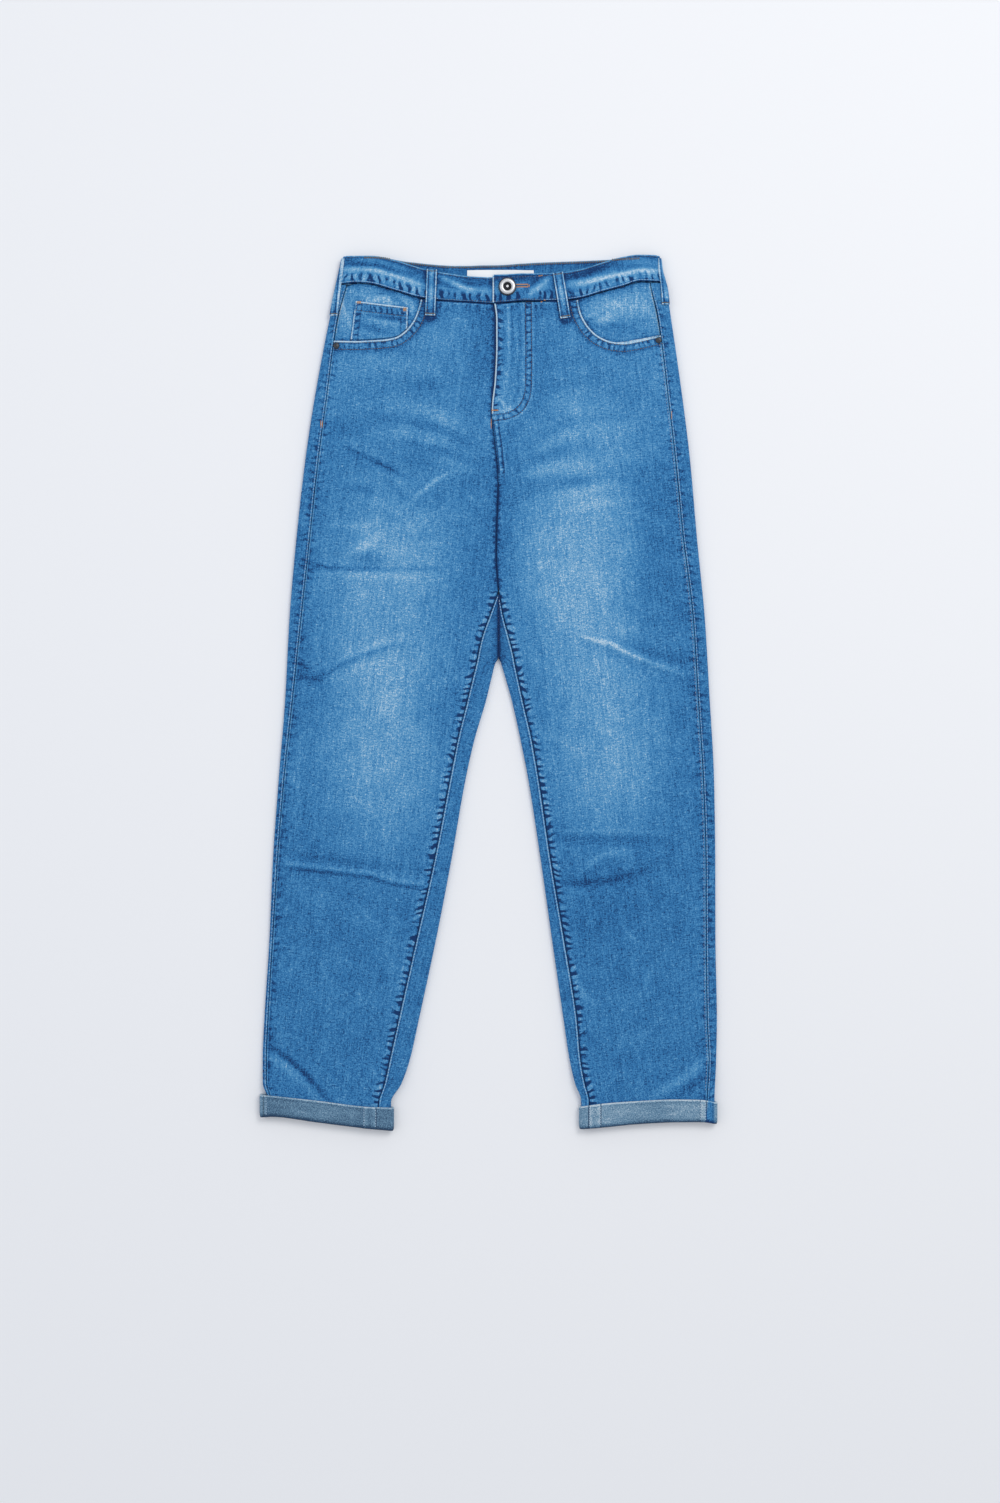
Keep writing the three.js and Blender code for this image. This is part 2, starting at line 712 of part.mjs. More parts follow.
function yokeGrid(leg) {
  const rows = 3;
  return Array.from({ length: rows + 1 }, (_, k) => {
    const share = k / rows;
    const yAt = (x) => lerp(yokeSeam(leg, x) + seamGap / 2, backSeam(x) - seamGap, share);
    const rowY = lerp(leg.yokeSideY, backSeam(leg.outer(waistSeamY)), share);
    return backRow(leg, rowY, { withInner: false, yAt }).filter((p) => p);
  });
}

for (const [leg, name] of [[right, "right"], [left, "left"]]) {
  add(`back_${name}`, sheet(backGrid(leg), denim, { within: ownSide(leg) }), "denimSide");
  add(`yoke_${name}`, sheet(yokeGrid(leg), denim, { within: ownSide(leg) }), "denimSide");
}

// Back pockets, flat on the floor under the backs
function backPocketGrid(leg) {
  const columns = 8;
  const rows = 6;
  const middle = seatX + leg.sign * backPocket.fromSeat;
  return Array.from({ length: rows + 1 }, (_, j) =>
    Array.from({ length: columns + 1 }, (_, i) => {
      const across = (2 * i) / columns - 1;
      const up = j / rows;
      const half = lerp(backPocket.lowWidth, backPocket.topWidth, up) / 2;
      const low = lerp(backPocket.point, backPocket.shoulder, Math.abs(across));
      return new THREE.Vector3(middle + across * half, lerp(low, backPocket.top, up), pocketCloth / 2);
    }),
  );
}
add("back_pocket_right", sheet(backPocketGrid(right), pocketCloth), "denimSide");
add("back_pocket_left", sheet(backPocketGrid(left), pocketCloth), "denimSide");

// Pocket facings, under the pocket mouths

// The facing runs from its edge tucked under the front to the waistband and the side seam
function facingGrid(leg) {
  const columns = 12;
  const rows = 3;
  const s = leg.sign;
  const cornerY = frontSeam(leg.side(waistSeamY));
  const start = leg.mouth[0];
  const end = leg.mouth[leg.mouth.length - 1];
  const sideX = (y) => leg.side(y) - s * seamGap;
  const { start: fromStart, corner: belowCorner, end: aboveEnd } = facingClearance;
  const boundary = [
    ...sampled(start.x + s * fromStart, sideX(cornerY), 5, (x) => ({ x, y: frontSeam(x) - 2 * seamGap })),
    ...sampled(cornerY - belowCorner, end.y + aboveEnd, 4, (y) => ({ x: sideX(y), y })),
  ];
  const tucked = leg.mouth.map((p) => {
    const down = s * (p.x - start.x) / Math.abs(end.x - start.x);
    const turn = Math.min(down * facingTurn, 1) * (Math.PI / 2);
    const x = p.x - s * facingTuck * Math.cos(turn);
    const limit = sideX(p.y - facingTuck);
    return { x: s * (limit - x) > 0 ? x : limit, y: p.y - facingTuck * Math.sin(turn) };
  });
  return Array.from({ length: rows + 1 }, (_, j) =>
    Array.from({ length: columns + 1 }, (_, i) => {
      const low = alongPath(tucked, i / columns);
      const high = alongPath(boundary, i / columns);
      const x = lerp(low.x, high.x, j / rows);
      const y = Math.min(lerp(low.y, high.y, j / rows), frontSeam(x) - 2 * seamGap);
      return new THREE.Vector3(x, y, upperside(leg, x, y) - facingDrop - facingCloth / 2);
    }),
  );
}
add("pocket_facing_right", sheet(facingGrid(right), facingCloth), "denim");
add("pocket_facing_left", sheet(facingGrid(left), facingCloth), "denim");

// Coin pocket on the right facing, cut off where it passes under the front
const coinPocket = {
  topOuterX: -149.4,
  topOuterY: 440.2,
  topInnerX: -90.6,
  topInnerY: 433,
  lowOuterX: -155.1,
  lowInnerX: -91.5,
  aboveMouth: 2,
};
function coinGrid() {
  const columns = 6;
  const rows = 4;
  const mouthY = line(rightMouth.slice(2), "x", "y");
  return Array.from({ length: rows + 1 }, (_, j) =>
    Array.from({ length: columns + 1 }, (_, i) => {
      const across = i / columns;
      const lowX = lerp(coinPocket.lowOuterX, coinPocket.lowInnerX, across);
      const lowY = mouthY(lowX) + coinPocket.aboveMouth;
      const x = lerp(lowX, lerp(coinPocket.topOuterX, coinPocket.topInnerX, across), j / rows);
      const y = lerp(lowY, lerp(coinPocket.topOuterY, coinPocket.topInnerY, across), j / rows);
      const z = upperside(right, x, y) - facingDrop + layerGap + pocketCloth / 2;
      return new THREE.Vector3(x, y, z);
    }),
  );
}
add("coin_pocket", sheet(coinGrid(), pocketCloth), "denim");

// Waistband

const bandFrontColumns = 14;
const bandBackColumns = 26;
const bandArcColumns = 6;
const bandRows = 3;

// Rise of the band's end over its other end at the fly
const lapLift = (x) => lapRise * (1 - smooth(x, lapRamp.from, lapRamp.to));
const lapTop = (x) => lapStep * (1 - smooth(x, lapStepRamp.from, lapStepRamp.to));

function bandGrid() {
  const radius = (waistHeight - band) / 2;
  const foldRow = (leg) => (leg.sign < 0 ? frontBandRows[0] : frontBandRows[frontBandRows.length - 1]);
  const edgeY = (leg, share) => lerp(foldRow(leg).seam + seamGap / 2, foldRow(leg).top, share);
  const foldX = (leg, share) => leg.outer(edgeY(leg, share)) - leg.sign * (radius + band / 2);
  const front = (leg, endX, isLap, t) => (share) => {
    const x = lerp(endX, foldX(leg, share), t);
    const top = frontTop(x) + (isLap ? lapTop(x) : 0);
    const z = waistHeight - band / 2 + (isLap ? lapLift(x) : 0);
    return new THREE.Vector3(x, lerp(frontSeam(x) + seamGap / 2, top, share), z);
  };
  const fold = (leg, t) => (share) => {
    const angle = Math.PI * (0.5 - t);
    const x = foldX(leg, share) + leg.sign * radius * Math.cos(angle);
    return new THREE.Vector3(x, edgeY(leg, share), waistHeight / 2 + radius * Math.sin(angle));
  };
  const back = (t) => (share) => {
    const x = lerp(foldX(left, share), foldX(right, share), t);
    const y = lerp(backSeam(x) + seamGap / 2, backTop(x), share);
    return new THREE.Vector3(x, y, underside(x, y) + band / 2);
  };
  const columns = [];
  const frontSteps = Array.from({ length: bandFrontColumns + 1 }, (_, i) => i / bandFrontColumns);
  const foldSteps = Array.from({ length: bandArcColumns - 1 }, (_, i) => (i + 1) / bandArcColumns);
  const backSteps = Array.from({ length: bandBackColumns + 1 }, (_, i) => i / bandBackColumns);
  columns.push(...frontSteps.map((t) => front(left, lapEdge, true, t)));
  columns.push(...foldSteps.map((t) => fold(left, t)));
  columns.push(...backSteps.map((t) => back(t)));
  columns.push(...foldSteps.reverse().map((t) => fold(right, t)));
  columns.push(...frontSteps.reverse().map((t) => front(right, underlap, false, t)));
  return Array.from({ length: bandRows + 1 }, (_, k) => columns.map((column) => column(k / bandRows)));
}
add("waistband", sheet(bandGrid(), band), "denim");

// Plain label inside the back waistband
const labelBox = { left: -24, right: 51, low: 456, high: 475.5 };
function labelGrid() {
  const columns = 7;
  return [labelBox.low, labelBox.high].map((y) =>
    Array.from({ length: columns + 1 }, (_, i) => {
      const x = lerp(labelBox.left, labelBox.right, i / columns);
      return new THREE.Vector3(x, y, underside(x, y) + band + layerGap + labelCloth / 2);
    }),
  );
}
add("label", sheet(labelGrid(), labelCloth), "label");

// Belt loops

const loopRows = 7;

// Front loops lie over the waistband and end on the panel below it
function frontLoopGrid(loop) {
  const columns = 2;
  return Array.from({ length: loopRows + 1 }, (_, j) =>
    Array.from({ length: columns + 1 }, (_, i) => {
      const t = j / loopRows;
      const x = lerp(loop.lowX, loop.topX, t) + loopWidth * (i / columns - 0.5);
      const y = lerp(loop.lowY, loop.topY, t) - (loop.topX - loop.lowX) * (i / columns - 0.5) * loopSlant;
      const bow = loopBow * Math.sin(Math.PI * t);
      return new THREE.Vector3(x, y, waistHeight + layerGap + loopCloth / 2 + bow);
    }),
  );
}
for (const loop of frontLoops) add(loop.name, sheet(frontLoopGrid(loop), loopCloth), "denim");

// Side loops turn round the folded edge: low end on the front, top end on the edge
const sideLoopLowStart = -4.4;
const sideLoopTopStart = 1.6;
const sideLoopReach = 8.2;
function sideLoopGrid(loop) {
  const leg = loop.side === "right" ? right : left;
  const columns = 5;
  return Array.from({ length: loopRows + 1 }, (_, j) =>
    Array.from({ length: columns + 1 }, (_, i) => {
      const t = j / loopRows;
      const y = lerp(loop.lowY, loop.topY, t);
      const along = lerp(sideLoopLowStart, sideLoopTopStart, t) + (sideLoopReach * i) / columns;
      const edge = waistHeight / 2;
      const centre = leg.outer(y) - leg.sign * edge;
      const lift = layerGap + loopCloth / 2;
      if (along <= 0) return new THREE.Vector3(centre + leg.sign * along, y, waistHeight + lift);
      const angle = Math.PI / 2 - along / edge;
      const out = edge + lift;
      return new THREE.Vector3(centre + leg.sign * out * Math.cos(angle), y, edge + out * Math.sin(angle));
    }),
  );
}
for (const loop of sideLoops) add(loop.name, sheet(sideLoopGrid(loop), loopCloth), "denimSide");

function backLoopGrid() {
  return Array.from({ length: loopRows + 1 }, (_, j) => {
    const y = lerp(backLoop.lowY, backLoop.topY, j / loopRows);
    return [-loopHalf, 0, loopHalf].map((dx) => new THREE.Vector3(backLoop.x + dx, y, loopCloth / 2));
  });
}
add("loop_back", sheet(backLoopGrid(), loopCloth), "denimSide");

// Zip and fly shield, under the closed fly
const zipStrip = { low: 322, high: 432, from: -4, to: 24, depth: denim + layerGap };
const shieldStrip = { low: 314, high: 432, from: -12, to: 30, depth: denim + zipCloth + 2 * layerGap };
function flyStripGrid(strip) {
  const columns = 3;
  const rows = 6;
  return Array.from({ length: rows + 1 }, (_, j) =>
    Array.from({ length: columns + 1 }, (_, i) => {
      const y = lerp(strip.low, strip.high, j / rows);
      const x = centreFront(y) + lerp(strip.from, strip.to, i / columns);
      return new THREE.Vector3(x, y, edgeHeight(y) - strip.depth - zipCloth / 2);
    }),
  );
}
add("zip", sheet(flyStripGrid(zipStrip), zipCloth), "zipTape");
add("fly_shield", sheet(flyStripGrid(shieldStrip), zipCloth), "denimSide");

// Turned-up hems

// Rows of a cuff from its rolled lower edge to its upper edge: share of the height and inset of the wall
const cuffProfile = [
  { share: 0, inset: 0.8 },
  { share: 0.09, inset: 0.15 },
  { share: 0.3, inset: 0 },
  { share: 0.92, inset: 0 },
  { share: 1, inset: 0.1 },
];
const cuffFaceColumns = 9;
function cuffGrid(leg) {
  const s = leg.sign;
  const height = edgeHeight(hemY) + 2 * cuffRise;
  const wallRadius = (height - cuffWall) / 2;
  const outerCentre = leg.cuff.outer - s * (wallRadius + cuffWall / 2);
  const innerCentre = leg.cuff.inner + s * (wallRadius + cuffWall / 2);
  return cuffProfile.map(({ share, inset }) => {
    const radius = wallRadius - inset;
    const row = [];
    const put = (x, z) => row.push(new THREE.Vector3(x, lerp(leg.cuffLow(x), leg.cuffTop(x), share), z));
    for (let i = 0; i < cuffFaceColumns; i++) {
      put(lerp(outerCentre, innerCentre, i / cuffFaceColumns), height / 2 + radius);
    }
    for (let i = 0; i < arcColumns; i++) {
      const angle = Math.PI * (0.5 - i / arcColumns);
      put(innerCentre - s * radius * Math.cos(angle), height / 2 + radius * Math.sin(angle));
    }
    for (let i = 0; i < cuffFaceColumns; i++) {
      put(lerp(innerCentre, outerCentre, i / cuffFaceColumns), height / 2 - radius);
    }
    for (let i = 0; i < arcColumns; i++) {
      const angle = Math.PI * (i / arcColumns - 0.5);
      put(outerCentre + s * radius * Math.cos(angle), height / 2 + radius * Math.sin(angle));
    }
    return row;
  });
}
add("cuff_right", sheet(cuffGrid(right), cuffWall, { closed: true }), "denimReverse");
add("cuff_left", sheet(cuffGrid(left), cuffWall, { closed: true }), "denimReverse");

// Metal

// A turned piece from its half section: radius and height of each corner
function turned(corners, segments, { x, y, z }) {
  const profile = corners.map(([radius, height]) => new THREE.Vector2(radius, height));
  const geometry = new THREE.LatheGeometry(profile, segments);
  geometry.rotateX(Math.PI / 2);
  geometry.translate(x, y, z);
  return geometry;
}
const buttonSection = [
  [0, 0],
  [8.6, 0],
  [10, 1.1],
  [9.7, 2.3],
  [8.2, 3.1],
  [5.6, 3.2],
  [4, 2.7],
  [3.4, 1.6],
  [0, 1.5],
];
const rivetSection = [
  [0, 0],
  [3.4, 0],
  [3.4, 0.5],
  [2.4, 1.3],
  [1.1, 1.5],
  [0, 1.5],
];
const buttonPlace = { x: 21.2, y: 455.3, z: waistHeight + lapRise + layerGap };
const rivetPlaces = [
  { name: "rivet_right", leg: right, x: -171.2, y: 389.7 },
  { name: "rivet_left", leg: left, x: 191.2, y: 395.8 },
];
add("button", turned(buttonSection, 32, buttonPlace), "nickel");
for (const { name, leg, x, y } of rivetPlaces) {
  add(name, turned(rivetSection, 16, { x, y, z: upperside(leg, x, y) + layerGap }), "nickel");
}

// The origin is under the middle of the outline
const box = new THREE.Box3().setFromObject(jeans);
jeans.position.set(-(box.min.x + box.max.x) / 2, -(box.min.y + box.max.y) / 2, -box.min.z);

export default jeans;
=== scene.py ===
import json
import math

import bmesh
import bpy
import numpy as np
from mathutils import Matrix, Vector
from mathutils.bvhtree import BVHTree

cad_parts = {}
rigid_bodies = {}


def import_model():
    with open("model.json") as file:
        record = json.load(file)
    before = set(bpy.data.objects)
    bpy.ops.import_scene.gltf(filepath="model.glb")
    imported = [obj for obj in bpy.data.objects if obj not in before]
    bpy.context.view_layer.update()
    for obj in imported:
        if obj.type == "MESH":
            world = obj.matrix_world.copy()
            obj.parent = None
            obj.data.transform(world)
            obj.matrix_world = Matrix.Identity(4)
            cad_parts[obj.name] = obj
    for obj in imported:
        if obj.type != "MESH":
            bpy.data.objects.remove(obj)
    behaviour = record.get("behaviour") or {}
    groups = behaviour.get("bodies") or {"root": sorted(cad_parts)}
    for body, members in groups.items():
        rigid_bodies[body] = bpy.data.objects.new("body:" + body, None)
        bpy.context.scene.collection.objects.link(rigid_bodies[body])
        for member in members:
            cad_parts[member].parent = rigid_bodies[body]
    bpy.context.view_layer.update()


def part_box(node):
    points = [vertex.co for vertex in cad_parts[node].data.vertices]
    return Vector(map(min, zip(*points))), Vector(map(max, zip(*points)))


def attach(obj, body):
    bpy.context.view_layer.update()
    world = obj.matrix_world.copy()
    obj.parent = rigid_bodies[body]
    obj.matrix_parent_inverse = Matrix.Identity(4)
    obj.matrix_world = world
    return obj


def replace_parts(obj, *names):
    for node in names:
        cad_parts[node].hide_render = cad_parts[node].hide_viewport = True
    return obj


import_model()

mm = 0.001
rng = np.random.default_rng(11)
print("stage: frame loaded")

# Form of the jeans in millimetres: x to the wearer's left, y to the waist, z up
cloth = {"denim": 1.2, "band": 2.6, "cuff": 2.4, "seamGap": 0.4, "layerGap": 0.3}
gap = cloth["seamGap"] / 2
cuffRise = cloth["cuff"] + cloth["layerGap"]
waistHeight = 8.2
seatX = 11.5
crotchFoldY = 40
crotchPointY = 114
farAway = 99.0  # a seam this far off no longer counts
# y between which something sets in or ends
cuffLevels = {"slant": (-460, -395), "lift": (-446, -408), "relief": (-452, -436), "puckers": (-452, -446)}
flyLevels = {"crotch": (108, 114), "seat": (236, 246), "lap": (296, 340), "curve": (307, 313),
             "low": (300, 330), "high": (400, 440), "hip": (200, 330)}
# Heights: of a leg's crown, its swells, the puckers beside seams, and the fly's two layers
relief = {"crown": 0.6, "swell": 0.8, "puckers": 0.7, "flyLow": 0.7, "flyHigh": 1.1, "pockets": 1.3, "loop": 1.7}
# Tone of each piece before its wear, and what wear adds; folds darkens the folded edges as painted shade
base = {"front": 0.34, "hip": 0.08, "folds": -0.06, "swell": 0.03, "back": 0.36, "backContrast": 0.5, "band": 0.36,
        "facing": 0.56, "coin": 0.46, "loop": 0.4, "hidden": 0.38, "cuff": {"right": 0.2, "left": 0.38}}
# y, height of the folded edge
heights = [(-500, 5.8), (20, 5.8), (60, 6.1), (200, 6.6), (330, 7), (437, 7.5), (465, 7.5)]
# y, outer fold, side seam
rightSides = [
    (491, -163.7, None), (475, -167.1, None), (458, -170.9, -159.8), (419, -179.4, -170.2),
    (329, -196.3, -182.6), (262, -206.4, -191.6), (172, -216.6, -201.4), (82, -224.4, -211.1),
    (-8, -229.2, -220.7), (-98, -236.5, -230.3), (-188, -242.9, -237.5), (-278, -246.9, -243),
    (-368, -252.6, -248.2), (-413, -254.5, -250), (-440, -254.1, -249.6), (-455, -249.5, -245.4),
    (-500, -249.5, -245.4),
]
leftSides = [
    (491, 192.9, None), (475, 194.9, None), (458, 199.7, 182.2), (419, 205.9, 191.1), (329, 218.8, 202.4),
    (262, 227, 210.3), (172, 235, 219.4), (82, 243.8, 230.5), (-8, 249.2, 236.1), (-98, 254.1, 241.8),
    (-188, 255.5, 244.7), (-278, 255.7, 245), (-368, 257.3, 246.1), (-413, 256.5, 248.1), (-458, 254.4, 245.8),
    (-500, 254.4, 245.8),
]
# y, inseam, inner fold
rightInners = [
    (114, 11.1, None), (87.5, 1.5, None), (60.6, -8, None), (40, -12.5, 11.1), (36.6, -13.1, 8.8),
    (14, -18.6, 2.8), (-8, -23.8, -2.5), (-53, -34.9, -15.8), (-98, -43.7, -25.9), (-188, -61.1, -41.7),
    (-278, -81.3, -59.1), (-368, -101.5, -78.4), (-413, -111.3, -88.5), (-440, -117.3, -97.9),
    (-461, -123.6, -109.6), (-500, -125, -110),
]
leftInners = [
    (114, 11.9, None), (87.5, 16.4, None), (60.6, 23.5, None), (40, 28.6, 11.9), (36.6, 29.1, 13),
    (14, 33.8, 19.7), (-8, 38.6, 25.9), (-53, 48.9, 35.9), (-98, 56.7, 44.7), (-188, 70.1, 58.6),
    (-278, 85.4, 71.4), (-368, 99.7, 84.4), (-413, 103.8, 91.1), (-440, 108.6, 97.3), (-458, 113.1, 103.9),
    (-500, 115, 105.2),
]
# y, centre front seam
centreFrontRows = [
    (114, 11.5), (151, 8.6), (192, 9.3), (239, 11), (275, 7.9), (318, 3.5), (352, 6.8), (389, 8.4), (419, 8.4),
    (440, 6.2),
]
# x, seam, top edge
frontBand = [
    (-171, 458.9, 490.4), (-147, 461, 491.1), (-132, 459.6, 491.1), (-104, 451.7, 485.8), (-75, 443.8, 477),
    (-46, 440.4, 471.2), (-17, 438.8, 467.6), (5, 437.4, 466.8), (46, 440.4, 469), (76, 440.4, 470.9),
    (103, 443.5, 475.6), (126, 450.3, 482.8), (149, 456.3, 489.4), (171, 462.7, 492.4), (199, 461.6, 491.1),
]
backBand = [
    (-171, 458.9, 490.4), (-125, 456, 490.4), (-91, 452.5, 485.4), (-35, 448.8, 480.9), (11, 448, 481.3),
    (51, 450, 484.3), (111, 455, 486.6), (199, 461.6, 491.1),
]
lapEdge = 4.6
lapStep = 2.4  # the lap's top edge stands above the underlap's
underlap = 30
rightMouth = [
    (-76.2, 441.6), (-77.6, 434.5), (-83.4, 418.6), (-92, 407.1), (-103.5, 398.6), (-117.8, 396.6),
    (-146.5, 395), (-175.2, 395.7),
]
leftMouth = [
    (100.5, 441.2), (102.7, 427.7), (109.5, 414.1), (120, 402.2), (135.1, 394.5), (153.1, 392.3),
    (171.2, 396.1), (194.5, 401.8),
]
yokeY = {"centre": 377, "right": 429, "left": 441}
backPocket = {"fromSeat": 100, "top": 372, "shoulder": 246, "point": 228, "topWidth": 140, "lowWidth": 118}
# x, upper edge, lower edge
rightCuffRows = [
    (-258, -451.8, -477.6), (-245, -453.2, -476.4), (-191, -459, -482.9), (-138, -465.5, -489.5),
    (-106, -466.8, -492.6),
]
leftCuffRows = [
    (102, -465.8, -490.6), (126, -462.3, -488.7), (171, -459, -484.4), (210, -457.4, -482.6),
    (239, -457.8, -482.4), (258, -461.2, -485.1),
]
# Lower and upper end of each belt loop's middle line
loopHalf = 5.6
loopAxes = {
    "loop_front_right": (-65.6, 423.6, -63.6, 475.3), "loop_front_left": (86.5, 420.8, 77.9, 471.9),
    "loop_side_right": (-176, 423.5, -170, 488), "loop_side_left": (201, 436, 196, 488),
    "loop_back": (11.5, 433, 11.5, 480),
}
# The fly's curved row of stitching
flyCurve = [
    (41.6, 439), (42.2, 380), (41.8, 345), (40.6, 334), (36, 324), (29.6, 317.6), (18, 313.3), (5.6, 312),
]


def smooth(x, low, high):
    t = np.clip((np.asarray(x, float) - low) / (high - low), 0, 1)
    return t * t * (3 - 2 * t)


def mix(a, b, t):
    return a + (b - a) * t


# Smooth line through one column of a table, without overshoot
def curve(rows, across):
    points = sorted((r[0], r[across]) for r in rows if r[across] is not None)
    at = np.array([p[0] for p in points], float)
    value = np.array([p[1] for p in points], float)
    rise = np.diff(value) / np.diff(at)
    slope = np.concatenate([rise[:1], np.zeros(len(at) - 2), rise[-1:]])
    same = rise[:-1] * rise[1:] > 0
    slope[1:-1][same] = (2 * rise[:-1] * rise[1:])[same] / (rise[:-1] + rise[1:])[same]

    def read(where):
        w = np.clip(np.asarray(where, float), at[0], at[-1])
        k = np.clip(np.searchsorted(at, w, side="right") - 1, 0, len(at) - 2)
        width = at[k + 1] - at[k]
        t = (w - at[k]) / width
        start = (1 + 2 * t) * (1 - t) ** 2 * value[k] + t * (1 - t) ** 2 * width * slope[k]
        return start + t * t * (3 - 2 * t) * value[k + 1] + t * t * (t - 1) * width * slope[k + 1]
    return read


def makeLeg(name, sign, sides, inners, mouth, cuffRows, cuffOuter, cuffInner):
    return {"name": name, "sign": sign, "outer": curve(sides, 1), "side": curve(sides, 2),
            "inseam": curve(inners, 1), "inner": curve(inners, 2), "mouth": mouth,
            "cuffTop": curve(cuffRows, 1), "cuffLow": curve(cuffRows, 2),
            "cuffOuter": cuffOuter, "cuffInner": cuffInner}


edgeHeight = curve(heights, 1)
centreFront = curve(centreFrontRows, 1)
frontSeam, frontTop = curve(frontBand, 1), curve(frontBand, 2)
backSeam, backTop = curve(backBand, 1), curve(backBand, 2)
right = makeLeg("right", -1, rightSides, rightInners, rightMouth, rightCuffRows, -257.6, -106.3)
left = makeLeg("left", 1, leftSides, leftInners, leftMouth, leftCuffRows, 257.6, 101.7)
legs = (right, left)

# Creases of the front: from x, y to x, y; half width; height, below 0 in a trough; bend at the middle
creases = [
    (-160, 275, -86, 244, 6, -1.1, 2), (-150, 258, -92, 238, 6, 0.7, 2), (-80, 222, -55, 244, 5, 0.7, 0),
    (-201, 152, -113, 139, 6, -1.1, -4), (-190, 160, -120, 149, 6, 0.6, -3), (-197, 17, -98, 53, 5, 1.0, -5),
    (-186, 30, -104, 64, 7, -0.9, -4), (-214, 31, -198, 25, 3, -1.0, 0), (-212, 22, -200, 17, 3, -0.7, 0),
    (-165, 225, -120, 205, 6, 0.7, 3), (-128, 214, -100, 196, 4, 0.6, 3), (-237, -191, -133, -204, 4, 1.1, 0),
    (-133, -204, -48, -216, 4, 1.0, 5), (-232, -183, -60, -207, 6, -1.0, 1),
    (-213, -426, -176, -450, 4, -1.0, -3), (-220, -418, -186, -446, 4, 0.6, -3),
    (-240, -404, -214, -424, 5, -0.6, 0), (108, 64, 139, 55, 4, 0.9, 0), (139, 55, 217, 22, 4, 1.1, 3),
    (112, 54, 206, 16, 6, -0.8, 3), (90, -164, 190, -168, 7, -1.1, 0), (96, -178, 226, -184, 6, 0.7, 3),
    (96, -214, 194, -201, 7, -1.0, 6), (104, -232, 170, -222, 6, 0.6, 4), (118, -196, 128, -206, 4, 0.7, 2),
    (-28, 300, -95, 322, 8, 0.7, 5), (-20, 250, -70, 268, 6, 0.5, 4), (-40, 330, -110, 345, 9, -0.5, 4),
    (48, 272, 122, 300, 8, 0.6, -5), (40, 245, 96, 258, 6, 0.5, -3), (62, 318, 140, 336, 9, -0.5, -4),
    (150, 250, 186, 236, 6, -0.6, 2), (60, -30, 110, -60, 8, 0.5, 2), (-90, -60, -130, -90, 8, 0.4, 2),
    (206, -400, 236, -432, 5, 0.7, 3), (226, -396, 244, -420, 4, -0.6, 2), (30, 215, 66, 225, 5, -0.5, 2),
    (-172, 348, -120, 362, 7, 0.5, 2), (120, 352, 184, 344, 7, 0.5, -2), (-226, -60, -196, -66, 5, -0.5, 0),
    (-234, -120, -206, -124, 5, -0.5, 0), (214, 120, 236, 126, 5, -0.5, 0), (216, -60, 240, -66, 5, -0.5, 0),
]
# Creases of the back, pressed against the floor
backCreases = [
    (-190, 150, -70, 176, 8, 0.5, 4), (-200, -10, -60, -32, 7, 0.6, -5), (-236, -205, -70, -196, 6, 0.7, 3),
    (-150, 60, -40, 88, 9, 0.4, 4), (60, 170, 200, 150, 8, 0.5, 5), (70, -20, 220, -2, 7, 0.6, 4),
    (80, -190, 240, -206, 6, 0.7, 3), (-240, -380, -140, -398, 6, 0.5, 2), (120, -390, 240, -372, 6, 0.5, 2),
]


def ridges(table, x, y):
    height = np.zeros_like(np.asarray(x, float))
    for x1, y1, x2, y2, width, tall, bend in table:
        dx, dy = x2 - x1, y2 - y1
        length = math.hypot(dx, dy)
        along = ((x - x1) * dx + (y - y1) * dy) / length
        across = ((x - x1) * dy - (y - y1) * dx) / length
        t = np.clip(along / length, 0, 1)
        across = across - bend * np.sin(math.pi * t)
        past = np.maximum(np.maximum(-along, along - length), 0)
        fade = 0.35 + 0.65 * np.sin(math.pi * np.clip(0.12 + 0.8 * t, 0, 1))
        height = height + tall * fade * np.exp(-(across / width) ** 2 - (past / (2.2 * width)) ** 2)
    return height


# Slow unevenness of cloth that has been worn and washed
swells = [(rng.uniform(-1, 1, 2), rng.uniform(0, 6.28), length) for length in (130, 90, 70, 55, 44, 36)]


def swell(x, y):
    height = np.zeros_like(np.asarray(x, float))
    for turn, phase, length in swells:
        turn = turn / np.linalg.norm(turn)
        height = height + (length / 600) * np.sin((turn[0] * x + turn[1] * y) * 6.283 / length + phase)
    return height


# Uneven puckers beside a seam: 0 between them, 1 in the middle of one
def roping(along, period, seed):
    wobble = 2.1 * np.sin(along / 47 + seed) + 1.3 * np.sin(along / 21 + 2.3 * seed)
    wave = 0.5 + 0.5 * np.cos((along + wobble) * 6.283 / period)
    return wave ** 2.2 * (0.75 + 0.25 * np.sin(along / 33 + 1.7 * seed))


def seamPuckers(leg, x, y):
    s = leg["sign"]
    fromInseam = np.where(y < crotchPointY, s * (x - leg["inseam"](y)), farAway)
    fromSide = s * (leg["side"](y) - x)
    inner = roping(y, 11.5, 1.3 + s) * np.exp(-((fromInseam - 3.6) / 3.6) ** 2) * (fromInseam > -0.5)
    outer = roping(y, 14.5, 3.1 * s) * np.exp(-((fromSide - 4) / 4) ** 2) * (fromSide > -0.5) * (y < 390)
    return inner + 0.6 * outer


def cuffLift(y):
    return cuffRise * (1 - smooth(y, *cuffLevels["lift"]))


def plateau(x, y, box, margin, ramp):
    lowX, highX, lowY, highY = box
    away = np.maximum.reduce([lowX - x, x - highX, lowY - y, y - highY, np.zeros_like(x)])
    return 1 - smooth(away, margin, margin + ramp)


# The back lies on its pockets, its middle loop and the cuffs
pocketMiddles = {leg["name"]: seatX + leg["sign"] * backPocket["fromSeat"] for leg in legs}
pocketHalf = backPocket["topWidth"] / 2
pocketBoxes = [(middle - pocketHalf, middle + pocketHalf, backPocket["point"], backPocket["top"])
               for middle in pocketMiddles.values()]
backLoopBox = (seatX - loopHalf, seatX + loopHalf, 433, 480)


